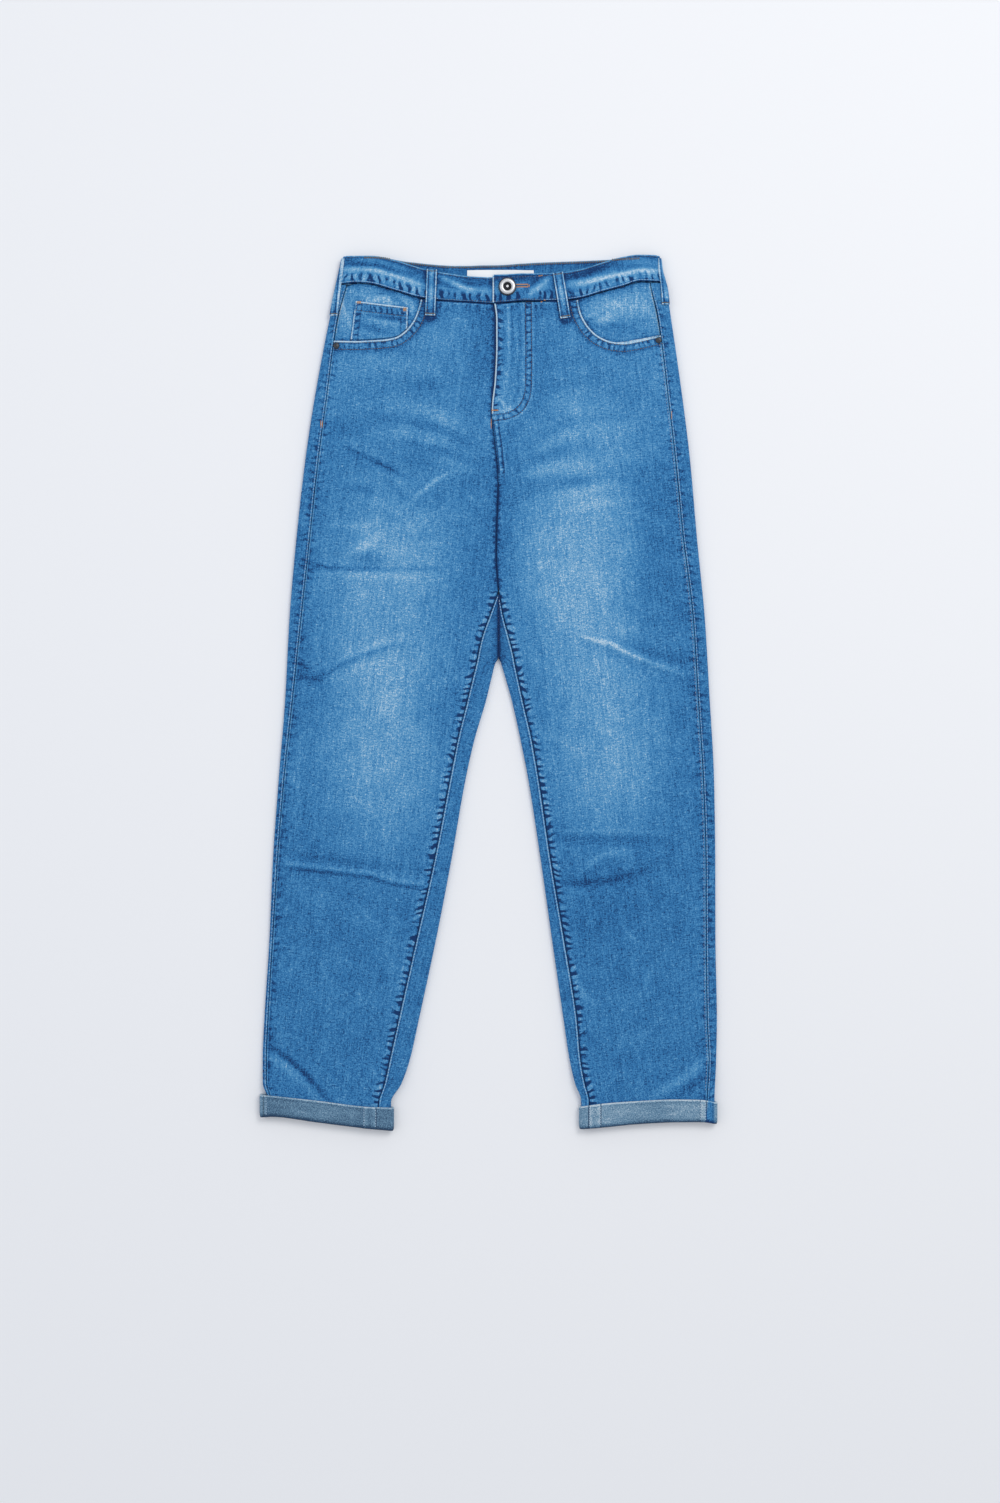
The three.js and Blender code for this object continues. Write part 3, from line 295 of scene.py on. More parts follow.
def underside(x, y):
    x, y = np.asarray(x, float), np.asarray(y, float)
    pockets = np.maximum(*(plateau(x, y, box, 19, 11) for box in pocketBoxes))
    return relief["pockets"] * pockets + relief["loop"] * plateau(x, y, backLoopBox, 15, 12) + cuffLift(y)


def edgeDistance(leg, x, y):
    fromOuter = leg["sign"] * (leg["outer"](y) - x)
    fromInner = np.where(y < crotchFoldY, leg["sign"] * (x - leg["inner"](y)), farAway)
    return np.minimum(fromOuter, fromInner)


def upperside(leg, x, y):
    inside = edgeDistance(leg, x, y)
    free = smooth(inside, 3, 12) * smooth(y, *cuffLevels["relief"])
    form = relief["crown"] * smooth(inside, 5, 50) + ridges(creases, x, y) + relief["swell"] * swell(x, y)
    puckers = relief["puckers"] * seamPuckers(leg, x, y) * smooth(y, *cuffLevels["puckers"])
    return edgeHeight(y) + cuffLift(y) + form * free - puckers


def flyRise(x, y):
    near = 1 - smooth(x - centreFront(y), 14, 40)
    low, high = smooth(y, *flyLevels["low"]), smooth(y, *flyLevels["high"])
    return near * (relief["flyLow"] * low + relief["flyHigh"] * high)


# Wash: 0 is unfaded, 1 bleached by wear; painted shade and highlight are added to it where marked. Zones: x, y, half
# width, half height, turn in degrees, strength
washZones = [
    (-112, 98, 76, 110, -2, 0.25), (-84, 190, 64, 70, 0, 0.12), (-122, -76, 66, 100, 5, 0.28),
    (100, 166, 68, 110, 2, 0.32), (104, 60, 70, 78, 0, 0.14), (134, -52, 68, 104, -4, 0.25),
    (130, 344, 84, 60, 0, 0.07), (30, 110, 30, 60, 0, 0.06), (-120, 20, 60, 40, 0, 0.06),
    (140, -110, 44, 50, -4, 0.06), (-96, 326, 92, 48, 8, 0.04), (114, 302, 56, 30, -6, 0.05),
    (-150, 130, 36, 90, 0, 0.04), (196, 180, 32, 120, -3, -0.05), (-206, 120, 18, 200, 3, -0.02),
    (16, 200, 26, 100, 0, -0.06), (34, 90, 30, 60, 0, -0.03), (-34, 130, 34, 80, 0, -0.03),
    (130, -240, 80, 44, 0, -0.06), (222, -60, 26, 120, 0, -0.02), (-218, -90, 22, 120, 0, 0.03),
    (-130, 150, 20, 9, -6, -0.22), (-140, 224, 26, 9, -14, -0.14), (20, 395, 40, 50, 0, -0.1),
    # The zone at -14, 380, dark beside the fly's lap, is painted shade
    (-52, 395, 34, 30, 0, 0.04), (-14, 380, 12, 70, 0, -0.08), (-120, 366, 60, 12, 4, 0.1),
    (-150, 300, 40, 14, 8, -0.1), (-84, 262, 30, 10, 6, -0.12), (-100, 340, 50, 9, 6, -0.08),
    (120, 372, 60, 16, -4, -0.04), (90, 326, 40, 12, -6, 0.02), (150, 276, 40, 12, -6, 0.06),
    (60, 350, 16, 50, 0, -0.08), (70, 236, 40, 9, 4, -0.1), (160, 330, 40, 14, -4, -0.06),
]
# Faded whiskers fanning out from the hips and thighs, and pale and dark lines along the leg creases: partly worn
# fade, partly painted highlight on the crease ridges and painted shade in their troughs. As creases, with strength
# for height
whiskersAndCreaseShading = [
    (-30, 296, -96, 322, 8, 0.13, 5), (-30, 272, -116, 292, 8, 0.12, 5), (-24, 252, -76, 266, 6, 0.1, 4),
    (-30, 284, -110, 308, 6, -0.12, 5), (-26, 262, -100, 280, 5, -0.12, 4), (50, 268, 124, 302, 8, 0.13, -5),
    (60, 286, 146, 312, 7, -0.12, -4), (40, 244, 98, 258, 7, 0.14, -3), (44, 256, 110, 278, 6, -0.12, -4),
    (96, 206, 164, 216, 6, 0.12, -2), (90, 236, 160, 240, 5, -0.12, -2), (-158, 224, -106, 206, 6, 0.16, -3),
    (-78, 225, -48, 246, 2.4, 0.26, 0), (-90, 213, -72, 226, 3, 0.16, 0), (-60, 240, -30, 250, 2.4, 0.12, 0),
    (-110, 232, -84, 216, 3, -0.14, 2), (-176, 188, -122, 192, 3, 0.14, 3), (-150, 158, -124, 178, 5, 0.16, 2),
    (-172, 236, -110, 246, 7, 0.08, 3), (96, 250, 170, 262, 8, 0.1, -3), (104, 226, 150, 240, 8, 0.12, -3),
    (70, 236, 120, 214, 9, 0.08, 3), (-172, 13, -106, 38, 3, 0.08, -3), (106, 63, 140, 55, 2, 0.36, 1),
    (138, 55, 172, 38, 2.2, 0.34, 1), (172, 38, 219, 22, 3, 0.2, 1), (112, 54, 172, 30, 5, -0.14, 0),
    (150, 58, 222, 36, 6, -0.14, 3), (-193, 16, -100, 54, 3, -0.24, -4), (-150, 42, -98, 64, 4, 0.08, -2),
    (-222, 36, -203, 28, 2.6, -0.34, 0), (-218, 21, -196, 15, 5, -0.2, 0),
    (-237, -191, -133, -203, 2.2, 0.2, 0), (-133, -203, -50, -215, 2.2, 0.18, 4),
    (-160, 275, -128, 260, 3, -0.2, 0), (-128, 260, -96, 244, 3, -0.34, 0), (-160, 284, -84, 254, 5, 0.08, 2),
    (-206, 146, -179, 140, 2.4, -0.3, 0), (-179, 140, -106, 138, 2.4, -0.26, 0),
    (-106, 138, -56, 140, 2.6, -0.16, 0), (-180, 132, -60, 130, 5, 0.12, 0), (78, -156, 200, -158, 3, 0.12, -1),
    (84, -165, 190, -168, 7, -0.16, 0), (107, -199, 126, -184, 3, 0.2, 0), (126, -184, 150, -178, 4, 0.16, 0),
    (88, -214, 176, -200, 5, -0.26, 5), (-235, -196, -133, -208, 2.2, -0.3, 0),
    (-133, -208, -62, -219, 2.2, -0.26, 4), (-234, -180, -70, -200, 5, -0.1, 1),
    (-246, -398, -182, -456, 3.2, -0.34, -4), (-250, -408, -194, -456, 5, 0.18, -4),
    (190, -450, 248, -411, 5, 0.22, 2), (206, -456, 250, -424, 5, -0.16, 2), (-60, 340, -100, 356, 9, -0.08, 3),
    (60, 338, 130, 352, 9, -0.08, -3), (-40, 226, -100, 200, 10, -0.08, 3), (40, 222, 110, 236, 9, -0.08, -3),
    (60, -40, 108, -66, 6, 0.06, 2), (-90, -70, -130, -96, 6, 0.06, 2), (100, -330, 118, -350, 3, 0.12, 0),
    (150, -262, 166, -280, 2.4, 0.18, 0), (22.6, 434, 23.4, 366, 1.5, 0.24, 0),
    (32, 432, 32.6, 372, 1.3, 0.14, 0), (27.5, 434, 28, 350, 1.6, -0.12, 0), (15, 436, 13, 330, 1.8, 0.12, 0),
    (36.5, 436, 36, 340, 1.6, -0.08, 0), (10, 330, 22, 318, 2, 0.2, -1), (-190, -300, -178, -330, 2.6, 0.12, 0),
    (-150, -236, -128, -260, 2.6, 0.12, 0), (186, -300, 176, -330, 2.6, 0.1, 0),
]


def washAt(leg, x, y):
    wash = base["front"] + base["hip"] * smooth(y, *flyLevels["hip"]) + np.zeros_like(x)
    for cx, cy, rx, ry, turn, strength in washZones:
        a = math.radians(turn)
        u = ((x - cx) * math.cos(a) + (y - cy) * math.sin(a)) / rx
        v = ((y - cy) * math.cos(a) - (x - cx) * math.sin(a)) / ry
        wash = wash + strength * np.exp(-(u * u + v * v) ** 1.5)
    # Painted shade: darker towards the folded edges, where the cloth turns down
    folds = base["folds"] * (1 - smooth(edgeDistance(leg, x, y), 2, 22))
    # The whiskers add worn fade together with painted highlight and shade along the creases
    return wash + ridges(whiskersAndCreaseShading, x, y) + folds + base["swell"] * swell(y, x)


# Points on a path of x, y, at shares of its length
def polyline(path, shares):
    path = np.asarray(path, float)
    steps = np.concatenate([[0], np.cumsum(np.linalg.norm(np.diff(path, axis=0), axis=1))])
    at = np.asarray(shares, float) * steps[-1]
    return np.stack([np.interp(at, steps, path[:, 0]), np.interp(at, steps, path[:, 1])], axis=-1)


def rounded(path, count, passes):
    line = polyline(path, np.linspace(0, 1, count))
    for _ in range(passes):
        line[1:-1] = (line[:-2] + 2 * line[1:-1] + line[2:]) / 4
    return line


def offsetPath(path, distance):
    path = np.asarray(path, float)
    tangent = np.gradient(path, axis=0)
    tangent /= np.linalg.norm(tangent, axis=1)[:, None]
    return path + np.stack([-tangent[:, 1], tangent[:, 0]], 1) * distance


# Shortest distance from each point to a path, and how far along the path it is
def nearestOn(path, x, y):
    path = np.asarray(path, float)
    best = np.full(np.shape(x), 1e9)
    run = np.zeros(np.shape(x))
    start = 0.0
    for (ax, ay), (bx, by) in zip(path[:-1], path[1:]):
        dx, dy = bx - ax, by - ay
        length = math.hypot(dx, dy)
        t = np.clip(((x - ax) * dx + (y - ay) * dy) / (length * length), 0, 1)
        distance = np.hypot(x - ax - t * dx, y - ay - t * dy)
        run = np.where(distance < best, start + t * length, run)
        best = np.minimum(best, distance)
        start += length
    return best, run


def distanceTo(path, x, y):
    return nearestOn(path, x, y)[0]


def fromLoop(node, x, y):
    axis = loopAxes[node]
    return distanceTo([axis[:2], axis[2:]], x, y) - loopHalf


mouthLines = {leg["name"]: rounded(leg["mouth"], 48, 6) for leg in legs}
flyInner = rounded(flyCurve, 120, 8)


def newObject(name, bm, material):
    mesh = bpy.data.meshes.new(name)
    for face in bm.faces:
        face.smooth = True
    bm.to_mesh(mesh)
    bm.free()
    piece = bpy.data.objects.new(name, mesh)
    bpy.context.scene.collection.objects.link(piece)
    mesh.materials.append(material)
    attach(piece, "root")
    return piece


def standsFor(piece, node):
    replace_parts(piece, node)
    return piece


# Attributes of the vertices: the tone of the wash and the distances to the seams in mm, read by the materials
def setFields(bm, fields):
    layers = {key: bm.verts.layers.float.new(key) for key in fields}
    bm.verts.ensure_lookup_table()
    for key, layer in layers.items():
        for vert, value in zip(bm.verts, fields[key].reshape(-1)):
            vert[layer] = value


# A grid of points, rows by columns, becomes a thin shell of cloth; keep says which cells there are
def clothGrid(name, points, flat, fields, thickness, material, keep=None, closed=False):
    rows, columns = points.shape[:2]
    bm = bmesh.new()
    bmesh.ops.create_grid(bm, x_segments=columns - 1, y_segments=rows - 1, size=1)
    uv = bm.loops.layers.uv.new("cloth")
    setFields(bm, fields)
    for vert, place in zip(bm.verts, points.reshape(-1, 3) * mm):
        vert.co = place
    uvs = flat.reshape(-1, 2)
    for face in bm.faces:
        for loop in face.loops:
            loop[uv].uv = uvs[loop.vert.index]
    if keep is not None:
        firsts = [(face, min(v.index for v in face.verts)) for face in bm.faces]
        gone = [face for face, first in firsts if not keep[first // columns, first % columns]]
        bmesh.ops.delete(bm, geom=gone, context="FACES")
    if closed:
        bmesh.ops.remove_doubles(bm, verts=bm.verts, dist=1e-6)
    piece = newObject(name, bm, material)
    shell = piece.modifiers.new("Thickness", "SOLIDIFY")
    shell.thickness = thickness * mm
    shell.offset = 0
    shell.use_even_offset = False
    return piece


# Length of cloth along the rows and along the columns, in metres, for the piece's own UV map
def distances(points):
    across = np.zeros(points.shape[:2])
    along = np.zeros(points.shape[:2])
    across[:, 1:] = np.cumsum(np.linalg.norm(np.diff(points, axis=1), axis=2), axis=1)
    along[1:, :] = np.cumsum(np.linalg.norm(np.diff(points, axis=0), axis=2), axis=0)
    return np.stack([across - across[:, across.shape[1] // 2][:, None], along], axis=2) * mm


# The cloth's own directions on a front, the warp following the leg
def onGrain(leg, points):
    turn = math.radians(7) * leg["sign"]
    x, y = points[..., 0], points[..., 1]
    return np.stack([x * math.cos(turn) + y * math.sin(turn), y * math.cos(turn) - x * math.sin(turn)], axis=2) * mm


# Leg fronts
frontSize = {"step": 2.4, "columns": 82, "hemY": -481, "bodyY": 34, "mouthY": 300, "lowRows": 110, "topRows": 78}


def sampled(low, high, steps, at):
    return [at(mix(low, high, k / steps)) for k in range(steps + 1)]


# Rows near a hem turn with the slope of its cuff
def slanted(leg, rowY, x):
    level = 1 - smooth(rowY, *cuffLevels["slant"])
    middle = (leg["cuffOuter"] + leg["cuffInner"]) / 2
    shift = leg["cuffLow"](x) - leg["cuffLow"](middle)
    return np.maximum(rowY + shift * level, leg["cuffLow"](x) + 5)


def seamPoint(leg, seam, rowY):
    y = slanted(leg, rowY, leg[seam](rowY))
    return leg[seam](y), y


def frontPoints(leg):
    s = leg["sign"]
    t = np.linspace(0, 1, frontSize["columns"] + 1)
    rowsX, rowsY = [], []
    for rowY in np.arange(frontSize["hemY"], frontSize["bodyY"], frontSize["step"]):
        x = mix(seamPoint(leg, "side", rowY)[0] - gap * s, seamPoint(leg, "inseam", rowY)[0] + gap * s, t)
        rowsX.append(x)
        rowsY.append(slanted(leg, rowY, x))

    def innerEdge(y):
        return (float(leg["inseam"](y) if y < crotchPointY else centreFront(y)) + gap * s, y)

    def sideEdge(y):
        return (float(leg["side"](y)) - gap * s, y)

    bodyY, mouthY = frontSize["bodyY"], frontSize["mouthY"]
    mouth = list(mouthLines[leg["name"]][::-1])
    topX = float(centreFront(440)) + gap * s
    top = (topX, float(frontSeam(topX)) - cloth["seamGap"])
    lower = (sampled(bodyY, mouthY, 40, sideEdge), sampled(bodyY, mouthY, 40, innerEdge), frontSize["lowRows"])
    upper = (sampled(mouthY, leg["mouth"][-1][1] - 2, 12, sideEdge) + mouth,
             sampled(mouthY, 425, 20, innerEdge) + [top], frontSize["topRows"])
    for outerPath, innerPath, steps in (lower, upper):
        shares = np.arange(1, steps + 1) / steps
        for a, b in zip(polyline(outerPath, shares), polyline(innerPath, shares)):
            rowsX.append(mix(a[0], b[0], t))
            rowsY.append(mix(a[1], b[1], t))
    x = np.array(rowsX)
    y = np.minimum(np.array(rowsY), frontSeam(x) - cloth["seamGap"])
    z = upperside(leg, x, y) - cloth["denim"] / 2
    return np.stack([x, y, z + flyRise(x, y) if s > 0 else z], axis=2)


# Distance from the fly's inner row of stitching, positive away from the zip
def outsideFly(x, y):
    away = distanceTo(flyInner, x, y)
    reach = np.interp(y, flyInner[::-1, 1], flyInner[::-1, 0])
    return np.where((x < reach) & (y > 312), -away, away)


def frontFields(leg, points):
    x, y = points[..., 0], points[..., 1]
    s = leg["sign"]
    fromCentre = s * (x - centreFront(y))
    aboveCrotch, aboveSeat, aboveCurve = (smooth(y, *flyLevels[key]) for key in ("crotch", "seat", "curve"))
    nowhere = np.full_like(x, farAway)
    fromMouth, mouthRun = nearestOn(mouthLines[leg["name"]], x, y)
    # The seat, waist and loop fields carry painted shade: along the centre seam, under the band and round the belt
    # loops; the field of the right front's lap carries the lap's painted shadow
    fields = {
        "wash": washAt(leg, x, y), "mouth": fromMouth, "mouthRun": mouthRun, "side": s * (leg["side"](y) - x),
        "inseam": np.where(y < crotchPointY, s * (x - leg["inseam"](y)), farAway),
        "seat": fromCentre + farAway * (1 - aboveCrotch + (aboveSeat if s > 0 else 0)),
        "waist": frontSeam(x) - y, "loop": fromLoop("loop_front_" + leg["name"], x, y),
        "flyRun": nowhere, "lap": nowhere, "rise": nowhere, "fly": nowhere, "beside": nowhere,
    }
    if s < 0:
        # Painted shadow of the fly's lap on the right front
        fields["beside"] = fromCentre + farAway * (1 - smooth(y, *flyLevels["lap"]))
        return fields
    return fields | {"flyRun": nearestOn(flyInner, x, y)[1], "lap": fromCentre + farAway * (1 - aboveCurve),
                     "rise": fromCentre + farAway * (1 - aboveSeat + aboveCurve), "fly": outsideFly(x, y)}


# Materials
def hexColour(code):
    values = [int(code[k:k + 2], 16) / 255 for k in (0, 2, 4)]
    return [v / 12.92 if v <= 0.04045 else ((v + 0.055) / 1.055) ** 2.4 for v in values] + [1]


def newMaterial(name, constants):
    material = bpy.data.materials.new(name)
    material.use_nodes = True
    for key, value in constants.items():
        material.node_tree.nodes["Principled BSDF"].inputs[key].default_value = value
    return material


# Adds a node and gives one of its outputs; a socket among the settings is linked to the input it stands for
def addNode(tree, kind, settings, output=0):
    node = tree.nodes.new("ShaderNode" + kind)
    for key, value in settings.items():
        if isinstance(value, bpy.types.NodeSocket):
            tree.links.new(value, node.inputs[key])
        elif isinstance(key, str) and hasattr(node, key):
            setattr(node, key, value)
        else:
            node.inputs[key].default_value = value
    return node.outputs[output]


def fillRamp(ramp, stops):
    elements = ramp.node.color_ramp.elements
    while len(elements) < len(stops):
        elements.new(0.5)
    for element, (position, colour) in zip(elements, stops):
        element.position = position
        element.color = colour
    return ramp


# Reads a distance in millimetres as a tone, with straight lines between the stops
def toneAt(tree, distance, stops):
    low, high = stops[0][0], stops[-1][0]
    share = addNode(tree, "MapRange", {"From Min": low, "From Max": high, "Value": distance})
    greys = [((place - low) / (high - low), [(tone + 1) / 2] * 3 + [1]) for place, tone in stops]
    grey = fillRamp(addNode(tree, "ValToRGB", {0: share}), greys)
    return addNode(tree, "Math", {"operation": "MULTIPLY_ADD", 0: grey, 1: 2.0, 2: -1.0})


# Noise of a size given in millimetres across and along the warp
def clothNoise(tree, vector, acrossMm, alongMm, detail, roughness):
    sized = addNode(tree, "Mapping", {"Vector": vector, "Scale": (1000 / acrossMm, 1000 / alongMm, 1)})
    return addNode(tree, "TexNoise", {"Vector": sized, "Scale": 1.0, "Detail": detail, "Roughness": roughness})


# Noises of the cloth's face: across mm, along mm, detail, roughness, amount
denimLook = {
    "grain": (1.5, 1.6, 2.0, 0.85, 1.6), "slub": (1.5, 14, 2.0, 0.6, 0.42), "line": (2.2, 60, 1.5, 0.6, 0.32),
    "streak": (6, 120, 1.0, 0.5, 0.1), "weft": (6, 1.4, 1.0, 0.6, 0.5), "mottle": (3.0, 3.6, 1.0, 0.5, 0.36),
    "cloud": (24, 22, 2.0, 0.6, 0.28),
}
# The reverse of the cloth on the cuffs, where more of the pale weft shows
reverseLook = {
    "grain": (1.3, 1.4, 2.0, 0.85, 2.0), "slub": (1.5, 5, 1.0, 0.5, 0.3), "cloud": (26, 9, 2.0, 0.6, 0.4),
}


# Ticks of dye left in the puckers along a seam: -1 on a tick, a little above 0 between them
def ticks(tree, place, along, period):
    if along in "xy":
        run = addNode(tree, "SeparateXYZ", {0: place}, "xy".index(along))
        perTurn = 2 * math.pi / (period * mm)
    else:
        run = addNode(tree, "Attribute", {"attribute_name": along}, "Fac")
        perTurn = 2 * math.pi / period
    drift = addNode(tree, "Math", {"operation": "MULTIPLY", 0: clothNoise(tree, place, 30, 30, 2.0, 0.55), 1: 20.0})
    turns = addNode(tree, "Math", {"operation": "MULTIPLY_ADD", 0: run, 1: perTurn, 2: drift})
    wave = addNode(tree, "Math", {"operation": "SINE", 0: turns})
    tick = addNode(tree, "MapRange", {"interpolation_type": "SMOOTHSTEP", "Value": wave, "From Min": -0.3,
                                      "From Max": 0.8, "To Min": 0.26, "To Max": -1.0})
    depth = addNode(tree, "MapRange", {"Value": clothNoise(tree, place, 11, 11, 1.0, 0.5), "From Min": 0.36,
                                       "From Max": 0.58, "To Min": 0.15, "To Max": 1.1})
    return addNode(tree, "Math", {"operation": "MULTIPLY", 0: tick, 1: depth})


# Stone-washed cotton twill with a little elastane: indigo warp over pale weft, worn pale where it rubs.
# The eye gets a fine salt-and-pepper grain, slub lines down the leg, dark puckers beside the seams
# with pale rubbed edges, and no shine.
def denimMaterial(name, stops, seams=(), look=denimLook, contrast=1.0, tint=None):
    material = newMaterial(name, {"Roughness": 0.85, "Specular IOR Level": 0.2, "Sheen Weight": 0.05})
    tree = material.node_tree
    uv = addNode(tree, "UVMap", {"uv_map": "cloth"})
    place = addNode(tree, "TexCoord", {}, "Object")
    # Pale thin lines here and there, in the pattern of fine crumples
    bent = addNode(tree, "TexNoise", {"Vector": place, "Scale": 22.0, "Detail": 1.0}, 1)
    slim = addNode(tree, "Mapping", {"Vector": place, "Scale": (1.0, 0.55, 1)})
    warped = addNode(tree, "VectorMath", {"operation": "MULTIPLY_ADD", 0: bent, 1: (0.05, 0.05, 0), 2: slim})
    crumple = addNode(tree, "TexVoronoi", {"feature": "DISTANCE_TO_EDGE", "Vector": warped, "Scale": 30.0})
    here = addNode(tree, "MapRange", {"Value": clothNoise(tree, place, 46, 60, 1.0, 0.5), "From Min": 0.42,
                                      "From Max": 0.62})
    # What each part adds to the tone of the wash, and its strength
    parts = [(toneAt(tree, crumple, [(0, 0.09), (0.035, 0.02), (0.09, -0.02), (0.2, 0)]), here)]
    noises = [clothNoise(tree, uv, *settings[:4]) for settings in look.values()]
    for noise, settings in zip(noises, look.values()):
        parts.append((addNode(tree, "Math", {"operation": "SUBTRACT", 0: noise, 1: 0.5}), settings[4] * contrast))
    for key, toneStops, puckers in seams:
        distance = addNode(tree, "Attribute", {"attribute_name": key}, "Fac")
        parts.append((toneAt(tree, distance, toneStops), 1.0))
        if puckers:
            puckerStops, along, period = puckers
            parts.append((ticks(tree, place, along, period), toneAt(tree, distance, puckerStops)))
    tone = addNode(tree, "Attribute", {"attribute_name": "wash"}, "Fac")
    for part, strength in parts:
        tone = addNode(tree, "Math", {"operation": "MULTIPLY_ADD", 0: part, 1: strength, 2: tone})
    colour = fillRamp(addNode(tree, "ValToRGB", {0: tone}), stops)
    if tint:
        share = addNode(tree, "Attribute", {"attribute_name": tint[0]}, "Fac")
        other = fillRamp(addNode(tree, "ValToRGB", {0: tone}), tint[1])
        colour = addNode(tree, "Mix", {"data_type": "RGBA", 0: share, 6: colour, 7: other}, 2)
    # Twill ribs at their real pitch of about 0.9 mm, running up to the right
    ribs = addNode(tree, "Mapping", {"Vector": uv, "Scale": (1000 / 2.8, 1000 / 2.8, 1)})
    twill = addNode(tree, "TexWave", {"Vector": ribs, "Scale": 1.0, "Distortion": 1.2, "Detail": 1.0}, 1)
    grain = addNode(tree, "Math", {"operation": "MULTIPLY", 0: noises[0], 1: 0.6})
    height = addNode(tree, "Math", {"operation": "MULTIPLY_ADD", 0: twill, 1: 0.4, 2: grain})
    bump = addNode(tree, "Bump", {"Height": height, "Strength": 0.4, "Distance": 0.0005})
    shader = tree.nodes["Principled BSDF"]
    tree.links.new(colour, shader.inputs["Base Color"])
    tree.links.new(bump, shader.inputs["Normal"])
    return material


# Tones of the wash from unfaded indigo to bleached
denimStops = [(place, hexColour(code)) for place, code in (
    (0.0, "0d3466"), (0.2, "23639c"), (0.4, "357cb5"), (0.6, "5495c5"), (0.8, "79add2"), (1.0, "bed5e6"))]
reverseStops = [(place, hexColour(code)) for place, code in (
    (0.0, "2a4562"), (0.3, "547794"), (0.6, "7499b4"), (1.0, "c6d4de"))]
# Seams: attribute, tone by distance in mm, and puckers: strength by distance, their size across and along
frontSeams = [
    # mouth: past the outer row of stitching the tone stays dark, fading out by 15 mm: painted shade
    ("mouth", [(0, 0.6), (1.3, 0.5), (2.1, -0.42), (3, -0.16), (5, 0.02), (8, -0.06), (9.2, -0.36),
         (10.4, -0.22), (15, 0)], ([(1.5, 0), (3.5, 0.32), (7.5, 0.32), (9.5, 0)], "mouthRun", 6.4)),
    ("side", [(-1, -0.3), (0.3, -0.1), (1.1, 0.34), (2.1, -0.14), (4, 0)], ([(1.2, 0.1), (2.6, 0.26), (6, 0.14),
         (12, 0)], "y", 9)),
    ("inseam", [(-1, -0.5), (0.6, -0.4), (1.4, -0.1), (3, 0.04), (7, 0.06), (16, 0)], ([(0.3, 0.5), (1.2, 0.95),
         (4, 0.8), (7, 0.36), (10.5, 0)], "y", 7.8)),
    # seat: a dark line with painted shade beside it along the centre front seam
    ("seat", [(-1, -0.6), (0.8, -0.48), (2.0, -0.12), (5, 0)], ([(1, 0), (2.5, 0.3), (6, 0)], "y", 8)),
    # Painted shadow of the fly's lap on the right front
    ("beside", [(-1, -0.7), (1.4, -0.5), (2.6, -0.16), (7, -0.05), (14, 0)], None),
    ("lap", [(-1, 0.95), (1.4, 0.85), (2.2, -0.4), (3.4, -0.06), (9, 0.06), (14, 0.14), (17, 0), (21, 0.1),
         (26, -0.04), (32, 0)], ([(2, 0), (3.4, 0.62), (7, 0.4), (10, 0)], "y", 8)),
    ("rise", [(-1, -0.45), (0.8, -0.25), (1.8, -0.45), (2.8, 0.14), (4.6, 0.2), (6.2, -0.1), (7, -0.42),
         (8.2, 0.06), (12, 0)], ([(2, 0), (3.5, 0.3), (6, 0.3), (8, 0)], "y", 7)),
    ("fly", [(-8, 0), (-4, 0.16), (-1.4, 0.16), (-0.4, -0.4), (0.8, -0.04), (3, 0.16), (5.4, 0), (6.4, -0.42),
         (7.6, 0.2), (11, 0)], ([(-0.5, 0), (1.5, 0.36), (5, 0.36), (7, 0)], "flyRun", 7)),
    # waist: painted shade under the band's edge and for about 9 mm below it, with a pale rubbed line between
    ("waist", [(0, -0.6), (1.2, -0.45), (2.2, 0.12), (3.4, -0.04), (9, -0.1), (22, 0)], ([(2, 0), (5, 0.24),
         (12, 0)], "x", 11)),
    # loop: painted shadow on the front round each belt loop
    ("loop", [(-1, -0.5), (0.8, -0.4), (3, -0.14), (8, 0)], None),
]
backSeams = [
    ("side", [(-1, -0.3), (0.4, -0.25), (1.5, 0.25), (2.4, -0.2), (4, 0)], ([(1.5, 0), (3, 0.28), (7, 0.16),
         (12, 0)], "y", 9)),
    ("inseam", [(-1, -0.5), (0.5, -0.4), (1.2, 0.3), (2.2, 0.25), (3, -0.22), (4.5, 0)], None),
    # seat: painted shadow in the gap between the legs at the crotch
    ("seat", [(0, -0.8), (1, -0.6), (2.4, -0.22), (9, 0)], None),
]
bandSeams = [
    ("low", [(0, -0.6), (0.7, -0.35), (1.3, 0.3), (2, -0.24), (3.2, -0.04), (9, 0.04), (13, 0.14), (17, 0.04),
         (24, -0.06)], ([(1.5, 0.2), (3.2, 0.6), (8, 0.46), (12.5, 0)], "x", 8.6)),
    ("high", [(0, 0.4), (0.8, 0.3), (1.8, -0.28), (3.5, -0.08), (9, -0.02), (14, 0)], None),
    ("lap", [(-1, 0.9), (1.3, 0.8), (2.1, -0.35), (3.2, 0), (6, 0)], None),
    # loop: painted shadow on the band round each belt loop
    ("loop", [(-1, -0.42), (0.6, -0.34), (3, -0.12), (8, 0)], None),
]
facingSeams = [
    # The mouth, low and coin tones are painted shade: under the front's mouth edge, under the waistband and at the
    # coin pocket's edge
    ("mouth", [(0, -0.5), (1.2, -0.32), (5, -0.1), (16, 0)], None),
    ("low", [(0, -0.55), (1.5, -0.35), (5, -0.1), (14, 0)], None),
    ("side", [(-1, -0.3), (0.4, 0.1), (1.2, 0.3), (2.2, 0), (4, 0)], None),
    ("coin", [(-1, -0.5), (0.5, -0.4), (1.6, -0.1), (4, 0)], None),
]
